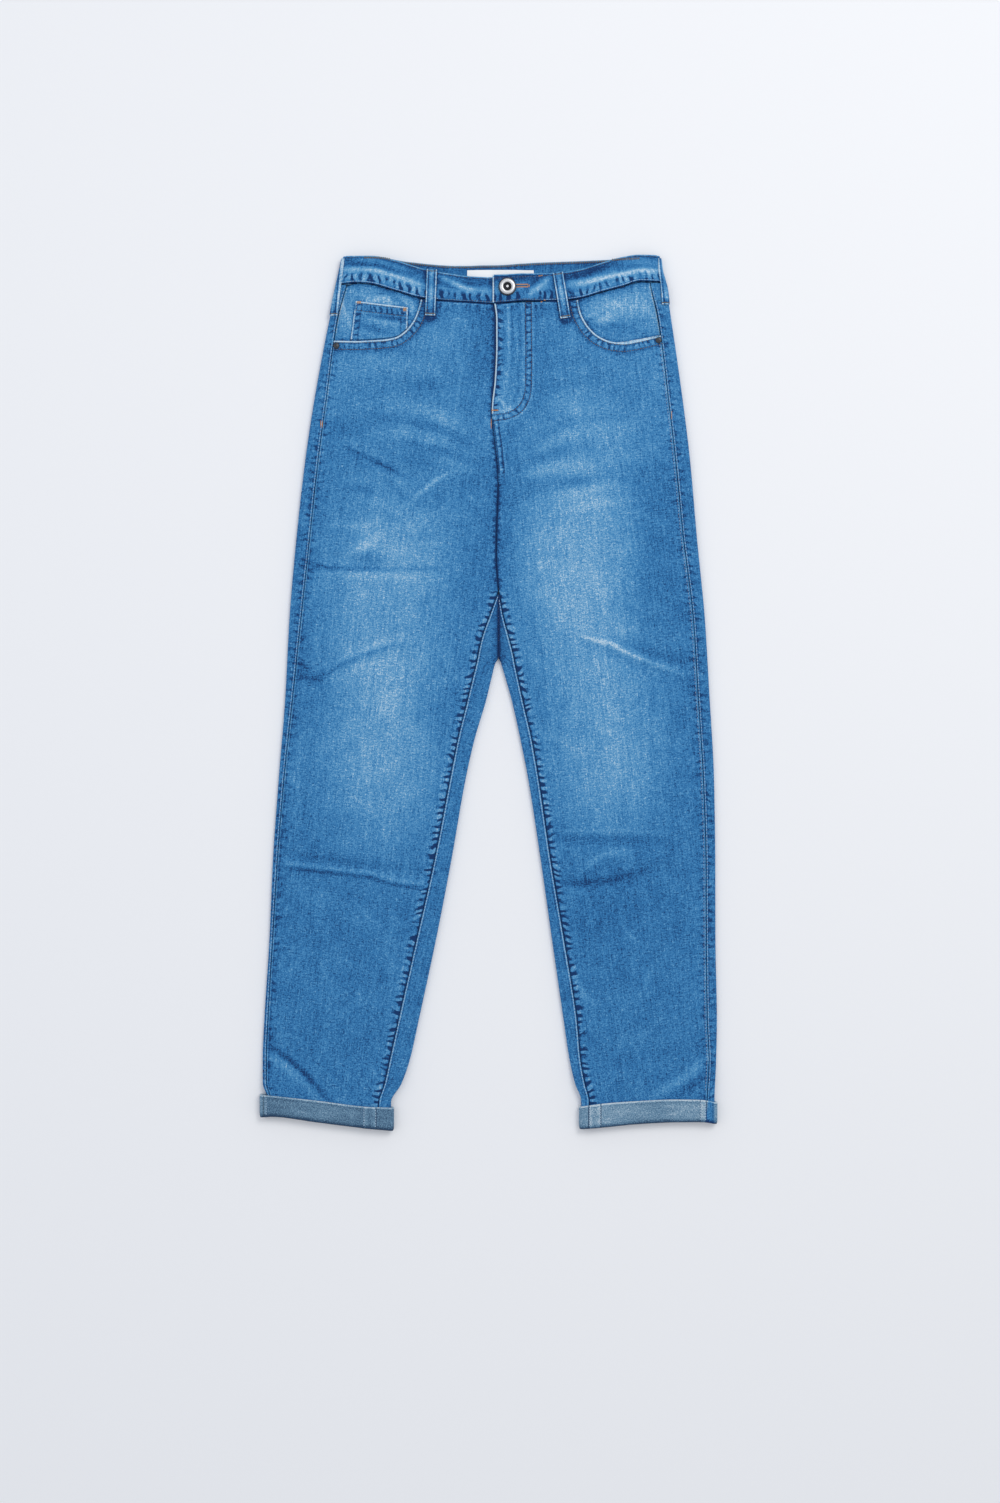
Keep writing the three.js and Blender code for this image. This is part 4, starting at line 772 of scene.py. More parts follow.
coinSeams = [
    ("hem", [(-1, 0.75), (1.0, 0.6), (1.8, -0.25), (3, -0.05), (8, -0.06), (9.8, -0.36), (11.5, 0), (14, -0.25),
         (19, 0)], ([(1.5, 0), (4, 0.34), (8, 0.34), (10, 0)], "x", 6)),
    ("sides", [(-1, 0.6), (0.9, 0.5), (1.7, -0.2), (3, 0), (6, -0.03), (7.6, -0.25), (9, 0)], ([(1.5, 0),
         (3.4, 0.34), (6, 0.28), (9, 0)], "y", 7)),
]
loopSeams = [
    ("edge", [(-1, 0.5), (0.8, 0.5), (1.6, -0.12), (2.4, -0.4), (3.2, 0.05), (5.6, 0.24)], None),
    ("tack", [(0, 0.6), (1.2, 0.4), (2.4, -0.3), (4.5, -0.3), (9, 0)], None),
]
cuffSeamTones = [
    ("allowance", [(-1.4, -0.6), (0.4, -0.5), (1.3, 0.35), (2.6, 0.3), (6, 0.14)], None),
    ("high", [(0, 0.5), (1.2, 0.3), (2.2, -0.12), (5, 0)], None),
    # low: painted shade along the cuff's bottom edge
    ("low", [(0, -0.6), (1.6, -0.35), (4, -0.08), (8, 0)], None),
]
denimFront = denimMaterial("stone_washed_denim_front", denimStops, frontSeams)
denimBack = denimMaterial("stone_washed_denim_back", denimStops, backSeams)
denimBand = denimMaterial("stone_washed_denim_waistband", denimStops, bandSeams, contrast=0.8)
denimFacing = denimMaterial("stone_washed_denim_facing", denimStops, facingSeams)
denimCoin = denimMaterial("stone_washed_denim_coin_pocket", denimStops, coinSeams)
denimLoop = denimMaterial("stone_washed_denim_loops", denimStops, loopSeams)
denimPlain = denimMaterial("stone_washed_denim_plain", denimStops)
reverse = denimMaterial("denim_reverse", reverseStops, cuffSeamTones, reverseLook, tint=("outside", denimStops))


def plainMaterial(name, colour, roughness, metallic=0.0, specular=0.5):
    return newMaterial(name, {"Base Color": hexColour(colour), "Roughness": roughness, "Metallic": metallic,
                              "Specular IOR Level": specular})


# Spun polyester thread: a dull, slightly hairy line
paleThread = plainMaterial("pale_blue_polyester_thread", "a9c4dc", 0.7)
brownThread = plainMaterial("brown_polyester_thread", "6d6252", 0.7)
orangeThread = plainMaterial("orange_polyester_thread", "c08a52", 0.65)
navyThread = plainMaterial("navy_polyester_thread", "2b4f7c", 0.7)
# Nickel-plated zamak, tumbled: grey metal with soft highlights. The dark copy is painted shadow on the button's
# skirt and also colours the rivets; the darkest is painted shade in the button's well
nickel = plainMaterial("nickel_plated_zamak", "d3d5d8", 0.38, 1.0)
darkNickel = plainMaterial("dark_nickel", "4c4e52", 0.45, 1.0)
shadeNickel = plainMaterial("painted_shade_nickel", "2a2c30", 0.5, 1.0)
# Satin-woven polyester label: smooth and white
labelCloth = plainMaterial("satin_woven_label", "f4f5f6", 0.6)
# Woven tape: flat and dull
zipTape = plainMaterial("woven_zip_tape", "33486c", 0.8)
print("stage: materials made")

# Finished pieces by leg, and the loops by node
fronts, backs, cuffs, facings, yokes, backPockets, loops = ({} for _ in range(7))
for leg in legs:
    node = "front_" + leg["name"]
    points = frontPoints(leg)
    fields = frontFields(leg, points)
    front = clothGrid(node + "_cloth", points, onGrain(leg, points), fields, cloth["denim"], denimFront)
    fronts[leg["name"]] = standsFor(front, node)
print("stage: fronts made")

# Leg backs, round the folds and under the garment
backSize = {"strip": 5, "arc": 9, "under": 68, "bodyRows": 96, "seatRows": 22, "seatTopY": crotchPointY - 4}
foldMiddle = cloth["denim"] / 2


def foldRadius(y):
    return (float(edgeHeight(y)) - cloth["denim"]) / 2


def yokeSeam(leg, x):
    share = np.minimum(np.abs(x - seatX) / abs(float(leg["side"](420)) - seatX), 1)
    return mix(yokeY["centre"], yokeY[leg["name"]], share)


# One row of a back: the strip beside the side seam, the outer fold, the underside, the inner fold and strip
def backRow(leg, rowY, yAt, withInner):
    s = leg["sign"]
    strip, arc, under = backSize["strip"], backSize["arc"], backSize["under"]
    outerY = float(yAt(float(leg["side"](rowY))))
    radius = foldRadius(outerY)
    centre = float(leg["outer"](outerY)) - s * (radius + foldMiddle)
    seamX = float(leg["side"](outerY)) + s * gap
    start = seamX if s * (centre - seamX) > 0.2 else centre - 0.2 * s

    def onTop(x):
        y = yAt(x)
        return np.stack([x, y, upperside(leg, x, y) - foldMiddle], 1)

    def fold(x, y, side, size, angle):
        middleZ = size + foldMiddle + float(cuffLift(y))
        return np.stack([x + side * size * np.cos(angle), np.full(len(angle), y), middleZ + size * np.sin(angle)], 1)

    innerCentre = seatX + s * gap
    if withInner:
        innerY = float(yAt(float(leg["inner"](rowY))))
        innerRadius = foldRadius(innerY)
        innerCentre = float(leg["inner"](innerY)) + s * (innerRadius + foldMiddle)
    x = mix(centre, innerCentre, np.arange(1, under + 1) / under)
    y = yAt(x)
    press = ridges(backCreases, x, y) * smooth(np.minimum(abs(x - centre), abs(x - innerCentre)), 0, 12)
    row = [onTop(mix(start, centre, np.arange(strip) / strip)),
           fold(centre, outerY, s, radius, math.pi * (0.5 - np.arange(arc + 1) / arc)),
           np.stack([x, y, underside(x, y) + foldMiddle + np.maximum(press, 0)], 1)]
    if not withInner:
        return np.concatenate(row + [np.full((arc + strip, 3), np.nan)])
    inseamX = float(seamPoint(leg, "inseam", rowY)[0]) - s * gap
    row += [fold(innerCentre, innerY, -s, innerRadius, math.pi * (np.arange(1, arc + 1) / arc - 0.5)),
            onTop(mix(innerCentre, inseamX, np.arange(1, strip + 1) / strip))]
    return np.concatenate(row)


def seatStrip(leg, y):
    s, strip = leg["sign"], backSize["strip"]
    x = mix(seatX + s * gap, float(leg["inseam"](y)) - s * 2 * gap, np.arange(strip + 1) / strip)
    return np.stack([x, np.full(strip + 1, y), upperside(leg, x, np.full(strip + 1, y)) - foldMiddle], 1)


def backPoints(leg):
    s = leg["sign"]
    strip, arc, bodyRows = backSize["strip"], backSize["arc"], backSize["bodyRows"]
    rows = [backRow(leg, rowY, lambda x, r=rowY: slanted(leg, r, x), True)
            for rowY in np.arange(frontSize["hemY"], frontSize["bodyY"] + 0.5, frontSize["step"])]
    radius = foldRadius(crotchFoldY)
    firstY = crotchFoldY + radius
    crotch = backRow(leg, firstY, lambda x: np.full_like(np.asarray(x, float), firstY), False)
    angle = math.pi * (np.arange(1, arc + 1) / arc - 0.5)
    crotch[-arc - strip:-strip] = np.stack([np.full(arc, seatX + s * gap), firstY - radius * np.cos(angle),
                                            radius + foldMiddle + radius * np.sin(angle)], 1)
    crotch[-strip:] = seatStrip(leg, firstY)[1:]
    rows.append(crotch)
    for k in range(1, bodyRows + 1):
        share = k / bodyRows
        yAt = lambda x, t=share: mix(firstY, yokeSeam(leg, np.asarray(x, float)) - gap, t)
        row = backRow(leg, mix(firstY, yokeY[leg["name"]], share), yAt, False)
        if k <= backSize["seatRows"]:
            row[-strip - 1:] = seatStrip(leg, mix(firstY, backSize["seatTopY"], k / backSize["seatRows"]))
        rows.append(row)
    points = np.array(rows)
    present = ~np.isnan(points[..., 0])
    keep = np.zeros(present.shape, bool)
    keep[:-1, :-1] = present[:-1, :-1] & present[1:, :-1] & present[:-1, 1:] & present[1:, 1:]
    limit = seatX + s * gap
    points[..., 0] = np.where(s * (points[..., 0] - limit) < 0, limit, points[..., 0])
    return np.nan_to_num(points), keep


# A distance counts only on its own side of the seam
def ahead(distance):
    return np.where(distance < -1, farAway, distance)


def backFields(leg, points):
    x, y, z = points[..., 0], points[..., 1], points[..., 2]
    s = leg["sign"]
    below = farAway * (1 - smooth(z, 3.5, 4.5))
    return {
        "wash": base["back"] + base["backContrast"] * (washAt(leg, x, y) - base["back"]),
        "side": ahead(s * (x - leg["side"](y))) + below,
        "inseam": ahead(np.where(y < crotchPointY, s * (leg["inseam"](y) - x), farAway)) + below,
        # Painted shadow in the gap between the legs
        "seat": np.where((y > crotchFoldY - 12) & (z > 2), np.abs(x - seatX), farAway),
    }


for leg in legs:
    node = "back_" + leg["name"]
    points, keep = backPoints(leg)
    fields = backFields(leg, points)
    back = clothGrid(node + "_cloth", points, distances(points), fields, cloth["denim"], denimBack, keep)
    backs[leg["name"]] = standsFor(back, node)
print("stage: backs made")

# Waistband
bandSize = {"front": 64, "arc": 10, "back": 120, "rows": 14, "width": 29.0}
lapRise = cloth["band"] + cloth["layerGap"]


# Soft diagonal waves where the band has shrunk along its stitching
def bandPuckers(x, share):
    lean = x + 26 * share
    wave = np.sin(lean / 4.6 + 1.4 * np.sin(x / 31)) * (0.5 + 0.5 * np.sin(x / 23 + 0.8))
    low = np.sin(x / 3.4 + 1.1 * np.sin(x / 17)) * np.exp(-((share - 0.12) / 0.16) ** 2)
    return 0.35 * wave * np.sin(math.pi * share) ** 0.5 + 0.3 * low


# Round the waist from the lap's edge, over the left fold, along the back and back to the underlap
def bandPoints():
    radius = (waistHeight - cloth["band"]) / 2
    shares = np.linspace(0, 1, bandSize["rows"] + 1)
    folds = {}
    for leg, end in ((right, frontBand[0]), (left, frontBand[-1])):
        y = mix(end[1] + gap, end[2], shares)
        folds[leg["name"]] = (leg["outer"](y) - leg["sign"] * (radius + cloth["band"] / 2), y)

    def front(leg, endX, isLap, t):
        foldX = folds[leg["name"]][0]
        x = mix(endX, foldX, t)
        top = frontTop(x) + isLap * lapStep * (1 - smooth(x, 20, 120))
        z = waistHeight - cloth["band"] / 2 + isLap * lapRise * (1 - smooth(x, underlap + 4, underlap + 26))
        settle = smooth(np.abs(x - foldX), 0, 8) * smooth(np.abs(x - endX), 0, 6)
        return np.stack([x, mix(frontSeam(x) + gap, top, shares), z + bandPuckers(x, shares) * settle], 1)

    def fold(leg, t):
        x, y = folds[leg["name"]]
        angle = math.pi * (0.5 - t)
        return np.stack([x + leg["sign"] * radius * math.cos(angle), y,
                         np.full_like(x, waistHeight / 2 + radius * math.sin(angle))], 1)

    def back(t):
        x = mix(folds["left"][0], folds["right"][0], t)
        y = mix(backSeam(x) + gap, backTop(x), shares)
        return np.stack([x, y, underside(x, y) + cloth["band"] / 2], 1)

    flat, arc, under = (np.linspace(0, 1, bandSize[key] + 1) for key in ("front", "arc", "back"))
    columns = [front(left, lapEdge, True, t) for t in flat] + [fold(left, t) for t in arc[1:-1]]
    columns += [back(t) for t in under] + [fold(right, t) for t in arc[-2:0:-1]]
    columns += [front(right, underlap, False, t) for t in flat[::-1]]
    return np.array(columns).transpose(1, 0, 2)


# Wrinkles of the waistband, as the whiskers, with the height above its seam for y
bandCreases = [
    (-166, 15, -72, 12, 2.4, 0.3, -1), (-160, 20, -100, 18, 2.6, -0.2, 0), (-150, 25, -90, 23, 2, 0.16, 0),
    (-56, 25, -20, 14, 2.6, 0.26, 0), (-46, 12, -8, 8, 2.4, 0.18, 0), (-52, 17, -34, 12, 3, -0.2, 0),
    (-26, 20, 0, 21, 3, -0.16, 0), (47, 7, 71, 26, 3, 0.3, 0), (36, 7, 58, 26, 3, -0.2, 0),
    (-40, 18, -12, 15, 2, 0.22, 1), (-30, 7, -4, 6, 3, -0.16, 0), (8, 6, 30, 5, 4, -0.2, 0),
    (28, 24, 44, 24, 3, -0.2, 0), (10, 24, 16, 24, 3, -0.16, 0), (62, 6, 72, 14, 3, -0.18, 0),
    (93, 17, 194, 11, 2.6, 0.34, 2), (90, 22, 136, 23, 3, -0.24, 0), (140, 25, 192, 21, 3, 0.12, 0),
    (100, 8, 150, 9, 2.4, -0.12, 0), (150, 16, 190, 16, 2.4, -0.12, 0),
]


def bandFields(points):
    x, onTop = points[..., 0], points[..., 2] > 4
    share = np.broadcast_to(np.linspace(0, 1, bandSize["rows"] + 1)[:, None], x.shape)
    fromSeam = share * bandSize["width"]
    atSides = 1 - smooth(x, -90, -50) + smooth(x, 80, 120)
    wash = base["band"] + 0.06 * np.sin(x / 29 + 1) * np.sin(share * 5 + x / 37) + 0.12 * bandPuckers(x, share)
    wash = wash + 0.16 * np.exp(-((fromSeam - 5) / 9) ** 2) * atSides
    isLap = np.arange(x.shape[1]) <= bandSize["front"]
    # Painted shadow round the front belt loops, on top of the band
    fromLoops = np.minimum(*(fromLoop("loop_front_" + leg["name"], x, points[..., 1]) for leg in legs))
    return {"wash": wash + np.where(onTop, 1.3 * ridges(bandCreases, x, fromSeam), 0), "low": fromSeam,
            "high": bandSize["width"] - fromSeam, "lap": np.where(isLap[None, :], x - lapEdge, farAway),
            "loop": np.where(onTop, fromLoops, farAway)}


points = bandPoints()
waistband = clothGrid("waistband_cloth", points, distances(points), bandFields(points), cloth["band"], denimBand)
rounding = waistband.modifiers.new("Rounded edges", "BEVEL")
rounding.width = 0.5 * mm
rounding.segments = 2
rounding.limit_method = "ANGLE"
rounding.angle_limit = math.radians(50)
standsFor(waistband, "waistband")
print("stage: waistband made")

# Cuffs, the turned-up hems with the reverse of the cloth outside
cuffSize = {"face": 60, "arc": 9, "height": 25}
# Share of the cuff's height, and how far its wall stands in there
cuffProfile = [
    (0, 0.8), (0.05, 0.35), (0.1, 0.12), (0.2, 0), (0.35, 0), (0.5, 0), (0.65, 0), (0.8, 0), (0.93, 0), (1, 0.1),
]
# x of the inseam allowance's two edges and of the outer seam, pressed open on the cuff
cuffSeams = {"right": [(-140.4, -126.2), (-257, -249)], "left": [(112.8, 126.2), (237.4, 244.4)]}


def turnedEdge(centre, side, radius, share, middleZ):
    angle = math.pi * (0.5 - np.arange(cuffSize["arc"]) / cuffSize["arc"])
    return np.stack([centre + side * radius * np.cos(angle), np.full_like(angle, share),
                     middleZ + radius * np.sin(angle)], 1)


def cuffPoints(leg):
    s, face = leg["sign"], cuffSize["face"]
    height = float(edgeHeight(-480)) + 2 * cuffRise
    wall = (height - cloth["cuff"]) / 2
    outerX = leg["cuffOuter"] - s * (wall + cloth["cuff"] / 2)
    innerX = leg["cuffInner"] + s * (wall + cloth["cuff"] / 2)
    x = mix(outerX, innerX, np.arange(face) / face)
    thick = sum(0.8 * smooth(x, a - 0.6, a + 0.4) * (1 - smooth(x, b - 0.4, b + 0.6))
                for a, b in cuffSeams[leg["name"]])
    rows = []
    for share, inset in cuffProfile:
        radius = wall - inset
        level = np.full(face, float(share))
        dent = 0.25 * np.sin(x / 9 + 3 * share) * np.sin(x / 23) * math.sin(math.pi * share)
        rows.append(np.concatenate([
            np.stack([x, level, height / 2 + radius + thick + dent], 1),
            turnedEdge(innerX, -s, radius, share, height / 2),
            np.stack([mix(innerX, outerX, np.arange(face) / face), level, np.full(face, height / 2 - radius)], 1),
            turnedEdge(outerX, s, radius, share, height / 2)[::-1],
            np.array([[outerX, share, height / 2 + radius + thick[0]]]),
        ]))
    points = np.array(rows)
    share = points[..., 1].copy()
    points[..., 1] = mix(leg["cuffLow"](points[..., 0]), leg["cuffTop"](points[..., 0]), share)
    return points, share


def cuffFields(leg, points, share):
    x, z = points[..., 0], points[..., 2]
    allowance = np.full_like(x, farAway)
    for a, b in cuffSeams[leg["name"]]:
        nearest = np.minimum(np.abs(x - a), np.abs(x - b)) * np.where((x > a) & (x < b), 1, -1)
        allowance = np.where(np.abs(nearest) < np.abs(allowance), nearest, allowance)
    # A strip of the cloth's face shows at the outer end of the left cuff
    lean = 3 * (share - 0.5)
    outside = smooth(x, 244 + lean, 244.8 + lean) * (1 - smooth(x, 253, 253.8)) * (z > 4)
    # Darker along the cuff's bottom edge: painted shade
    wash = base["cuff"][leg["name"]] + 0.05 * np.sin(x / 17) - 0.12 * np.exp(-((share - 0.02) / 0.08) ** 2)
    return {"wash": wash - 0.2 * outside, "allowance": np.where((z > 6) & (allowance >= -1.6), allowance, farAway),
            "high": (1 - share) * cuffSize["height"], "low": share * cuffSize["height"], "outside": outside}


for leg in legs:
    node = "cuff_" + leg["name"]
    points, share = cuffPoints(leg)
    fields = cuffFields(leg, points, share)
    cuff = clothGrid(node + "_cloth", points, distances(points), fields, cloth["cuff"], reverse, closed=True)
    cuffs[leg["name"]] = standsFor(cuff, node)
print("stage: cuffs made")


# Small cloth pieces: a finer copy of a solid, its triangles joined to quads, cut, bent and rounded
def fromSolid(node, cuts, fieldsAt, material, bends=()):
    bm = bmesh.new()
    bm.from_mesh(bpy.data.objects[node].data)
    bmesh.ops.remove_doubles(bm, verts=bm.verts, dist=1e-5)
    bmesh.ops.join_triangles(bm, faces=bm.faces, angle_face_threshold=0.9, angle_shape_threshold=0.9)
    hold = bm.edges.layers.float.new("crease_edge")
    for edge in bm.edges:
        if edge.calc_face_angle(0) > 1.0:
            edge[hold] = 0.45
    bmesh.ops.subdivide_edges(bm, edges=bm.edges, cuts=cuts, use_grid_fill=True)
    co = np.array([v.co for v in bm.verts]) / mm
    for vert, lift in zip(bm.verts, ridges(bends, co[:, 0], co[:, 1])):
        vert.co.z += lift * mm
    setFields(bm, fieldsAt(co[:, 0], co[:, 1]))
    uv = bm.loops.layers.uv.new("cloth")
    for face in bm.faces:
        for loop in face.loops:
            loop[uv].uv = loop.vert.co.xy
    piece = newObject(node + "_cloth", bm, material)
    rounder = piece.modifiers.new("Rounded", "SUBSURF")
    rounder.levels = rounder.render_levels = 1
    return standsFor(piece, node)


# Creases and worn streaks of the small pieces, as those of the fronts
facingCreases = [
    (108, 424, 150, 428, 4, 0.8, 4), (118, 414, 176, 418, 5, -0.8, 5), (130, 440, 172, 436, 5, 0.5, 3),
    (-150, 449, -100, 440, 5, 0.6, 4), (-100, 446, -84, 424, 4, 0.7, -2), (-110, 446, -92, 436, 4, -0.7, -2),
]
facingTones = [
    (-166, 440, -150, 400, 3, 0.2, 0), (-158, 446, -120, 450, 2.4, -0.16, 2), (-140, 444, -104, 446, 2, 0.2, 1),
    (-100, 440, -84, 420, 2.4, -0.22, 1), (-88, 440, -80, 428, 2, 0.2, 0), (110, 432, 150, 440, 4, 0.14, 4),
    (108, 418, 128, 424, 1.8, -0.3, 0), (128, 412, 150, 418, 1.8, -0.2, 1), (120, 422, 160, 414, 3, 0.14, 2),
    (140, 404, 180, 406, 3, -0.12, 0), (170, 440, 186, 420, 5, 0.14, 0),
]
coinSide = [(-149.4, 440.2), (-155.1, 397)]
coinInner = [(-90.6, 433), (-91.5, 408)]
coinHem = [coinSide[0], coinInner[0]]
coinTones = [
    (-146, 428, -100, 414, 3, 0.18, 3), (-150, 415, -112, 404, 3, -0.18, 0), (-118, 424, -98, 420, 3, -0.16, 0),
    (-140, 404, -108, 398, 2.4, 0.14, 0), (-136, 433, -112, 429, 2.4, -0.12, 0),
]


def facingFields(leg, x, y):
    wash = base["facing"] + 0.04 * np.sin(x / 13) * np.sin(y / 9)
    wash = wash + 0.3 * ridges(facingCreases, x, y) + ridges(facingTones, x, y)
    # Painted shade under the mouth edge, under the band and at the coin pocket's edge
    coinEdge = distanceTo(coinSide[::-1] + coinInner, x, y) if leg["sign"] < 0 else np.full_like(x, farAway)
    return {"wash": wash, "mouth": distanceTo(mouthLines[leg["name"]], x, y), "low": frontSeam(x) - y,
            "side": leg["sign"] * (leg["side"](y) - x), "coin": coinEdge}


def coinFields(x, y):
    return {"wash": base["coin"] + ridges(coinTones, x, y), "hem": distanceTo(coinHem, x, y),
            "sides": np.minimum(distanceTo(coinSide, x, y), distanceTo(coinInner, x, y))}


def loopFields(node, x, y):
    return {"wash": base["loop"] + 0.1 * np.sin(y / 5), "edge": -fromLoop(node, x, y),
            "tack": y - loopAxes[node][1] + 0.5}


for leg in legs:
    facings[leg["name"]] = fromSolid("pocket_facing_" + leg["name"], 4,
                                     lambda x, y: facingFields(leg, x, y), denimFacing, facingCreases)
coin = fromSolid("coin_pocket", 5, coinFields, denimCoin)
for node in loopAxes:
    loops[node] = fromSolid(node, 3, lambda x, y: loopFields(node, x, y), denimLoop)
for leg in legs:
    for kind, cuts, made in (("yoke_", 4, yokes), ("back_pocket_", 5, backPockets)):
        made[leg["name"]] = fromSolid(kind + leg["name"], cuts,
                                      lambda x, y: {"wash": np.full_like(x, base["hidden"])}, denimPlain)
label, zipper, flyShield = (bpy.data.objects[node] for node in ("label", "zip", "fly_shield"))
for piece, finish in ((label, labelCloth), (zipper, zipTape), (flyShield, zipTape)):
    piece.data.materials.clear()
    piece.data.materials.append(finish)
print("stage: small cloth pieces made")

# Stitches, each laid on the finished cloth
stitchSize = {"pitch": 3.1, "length": 2.3, "width": 0.75, "height": 0.42, "below": False}
rowMesh = bpy.data.meshes.new("one_row_of_stitches")
clothBm = bmesh.new()
graph = bpy.context.evaluated_depsgraph_get()
for piece in bpy.context.scene.objects:
    if piece.name.endswith("_cloth"):
        shown = piece.evaluated_get(graph)
        clothBm.from_mesh(shown.to_mesh())
        shown.to_mesh_clear()
surface = BVHTree.FromBMesh(clothBm)
clothBm.free()


def sewLine(bm, path, **changes):
    size = stitchSize | changes
    path = np.asarray(path, float)
    count = max(int(np.linalg.norm(np.diff(path, axis=0), axis=1).sum() / size["pitch"]), 1)
    ends = polyline(path, np.linspace(0, 1, 2 * count + 1))
    down = Vector((0, 0, 1 if size["below"] else -1))
    row = bmesh.new()
    for a, b in zip(ends[:-1:2], ends[2::2]):
        middle = (a + b) / 2 * mm
        place, normal, _, _ = surface.ray_cast(Vector((middle[0], middle[1], -0.05 * down.z)), down)
        if place is None:
            continue
        if normal.dot(down) > 0:
            normal = -normal
        across = normal.cross(Vector((b[0] - a[0], b[1] - a[1], 0)).normalized()).normalized()
        turn = Matrix((across.cross(normal).normalized(), across, normal)).transposed().to_4x4()
        scale = Matrix.Diagonal((size["length"] * mm, size["width"] * mm, size["height"] * mm, 1))
        bmesh.ops.create_uvsphere(row, u_segments=6, v_segments=4, radius=0.5,
                                  matrix=Matrix.Translation(place) @ turn @ scale)
    row.to_mesh(rowMesh)
    row.free()
    bm.from_mesh(rowMesh)


# A tack: thread laid close and crosswise
def barTack(bm, centre, length, height, turn=0.0, width=0.9):
    ahead = np.array([math.cos(turn), math.sin(turn)])
    half = np.array([-ahead[1], ahead[0]]) * height / 2
    rows = max(int(length / 0.75), 2)
    for k in range(rows):
        at = np.array(centre) + ahead * (k / (rows - 1) - 0.5) * length
        sewLine(bm, [at - half, at + half], pitch=height, length=height * 1.1, width=width)


def seamPath(leg, seam, lowY, highY, shift):
    y = np.linspace(lowY, highY, 160)
    return np.stack([leg[seam](y) + shift, y], 1)


pale, brown, orange, navy = (bmesh.new() for _ in range(4))
for leg in legs:
    s = leg["sign"]
    # Inseam: one row on the back's side of the seam; side seam: one row, two on the left leg
    sewLine(pale, seamPath(leg, "inseam", -452, 108, -1.6 * s), pitch=3.4, length=2.9)
    sewLine(pale, seamPath(leg, "side", -448, 392, 1.4 * s), pitch=3.6, length=2.6, width=0.55)
    if s > 0:
        sewLine(pale, seamPath(leg, "side", -448, 392, -2.4), pitch=3.6, length=2.6, width=0.5)
    sewLine(pale, seamPath(leg, "side", 398, 452, 1.4 * s), pitch=3.4, length=2.7, width=0.6)
    # Pocket mouth: one row near the edge, one 9 mm outside it
    sewLine(brown, offsetPath(mouthLines[leg["name"]], -2.0 * s), pitch=3.0, width=0.7)
    sewLine(brown, offsetPath(mouthLines[leg["name"]], -9.4 * s)[2:], pitch=3.0, width=0.8)

# Waistband: a row above its seam and one under its top edge, then the overlocked top edge of its back
frontX = np.linspace(-160, 190, 240)
lowRow = np.stack([frontX, frontSeam(frontX) + 1.6], 1)
sewLine(pale, lowRow[frontX < -56], width=0.6)
sewLine(brown, lowRow[(frontX > -56) & (frontX < 60)], width=0.6)
sewLine(pale, lowRow[frontX > 60], width=0.6)
sewLine(brown, np.stack([frontX, frontTop(frontX) - 1.6], 1), width=0.5)
backX = np.linspace(-140, 170, 200)
sewLine(brown, np.stack([backX, backTop(backX) - 1.5], 1), width=3.0, length=1.5, pitch=2.1)
sewLine(brown, [(lapEdge + 1.4, 439), (lapEdge + 1.4, 466)], width=0.5)

# Fly: the J of two rows, one row beside the lap's edge, two beside the seam under it, and the bar tacks
for row in (flyInner, offsetPath(flyInner, 6.4)):
    sewLine(brown, row, pitch=3.0, width=0.55)
for lowY, highY, count, shift, width in (
        (318, 436, 60, 2.2, 0.55), (240, 300, 40, 1.8, 0.6), (240, 300, 40, 7.0, 0.6)):
    y = np.linspace(lowY, highY, count)
    sewLine(navy, np.stack([centreFront(y) + shift, y], 1), width=width)
for centre, length, height, turn in (
        ((7.3, 317.3), 7.0, 1.7, 0), ((3.8, 302), 1.7, 13, 0), ((46.2, 440), 7, 1.7, 0), ((61.3, 440), 5, 1.6, 0.5),
        ((58.4, 468.5), 4, 1.4, 0.2), ((-187.8, 302), 1.6, 9, 0), ((205.2, 312), 1.6, 10, 0),
        ((-145.7, 438.8), 3.4, 3.4, 0), ((-94.2, 430.8), 3.0, 5.0, 0)):
    barTack(orange, centre, length, height, turn)

# Coin pocket: two rows under its hem and two down each side
hem = polyline(coinHem, np.linspace(0, 1, 40))
for shift in (-1.8, -10.2):
    sewLine(brown, offsetPath(hem, shift), width=0.6)
for path, side in ((coinSide, 1), (coinInner, -1)):
    dense = polyline(path, np.linspace(0.04, 1, 30))
    sewLine(pale, offsetPath(dense, 1.6 * side), width=0.5)
    sewLine(navy, offsetPath(dense, 7.4 * side), width=0.6)

# Belt loops: a row near each edge, a tack across each end, and one under each side loop
for node, (lowX, lowY, topX, topY) in loopAxes.items():
    if node.startswith("loop_side"):
        continue
    axis = polyline([(lowX, lowY + 1), (topX, topY - 1)], np.linspace(0, 1, 24))
    below = node == "loop_back"
    for shift in (-3.3, 3.3):
        sewLine(navy, offsetPath(axis, shift), width=0.6, below=below)
    if not below:
        turn = math.atan2(topY - lowY, topX - lowX) - math.pi / 2
        barTack(brown, (lowX, lowY + 2.2), 9.4, 1.6, turn)
        barTack(brown, (topX, topY - 1.6), 9.4, 1.4, turn, width=0.6)
for centre in ((-173.5, 425.6), (199.2, 438)):
    barTack(brown, centre, 8, 1.5)

# Buttonhole beside the button
hole = polyline([(30.2, 456.6), (44.4, 457)], np.linspace(0, 1, 12))
for shift in (1.4, -1.4):
    sewLine(orange, offsetPath(hole, shift), pitch=0.9, length=1.3, width=1.4)
sewLine(navy, hole, pitch=1.0, length=1.6, width=1.3)
barTack(orange, (45.0, 456.8), 1.4, 3.6)

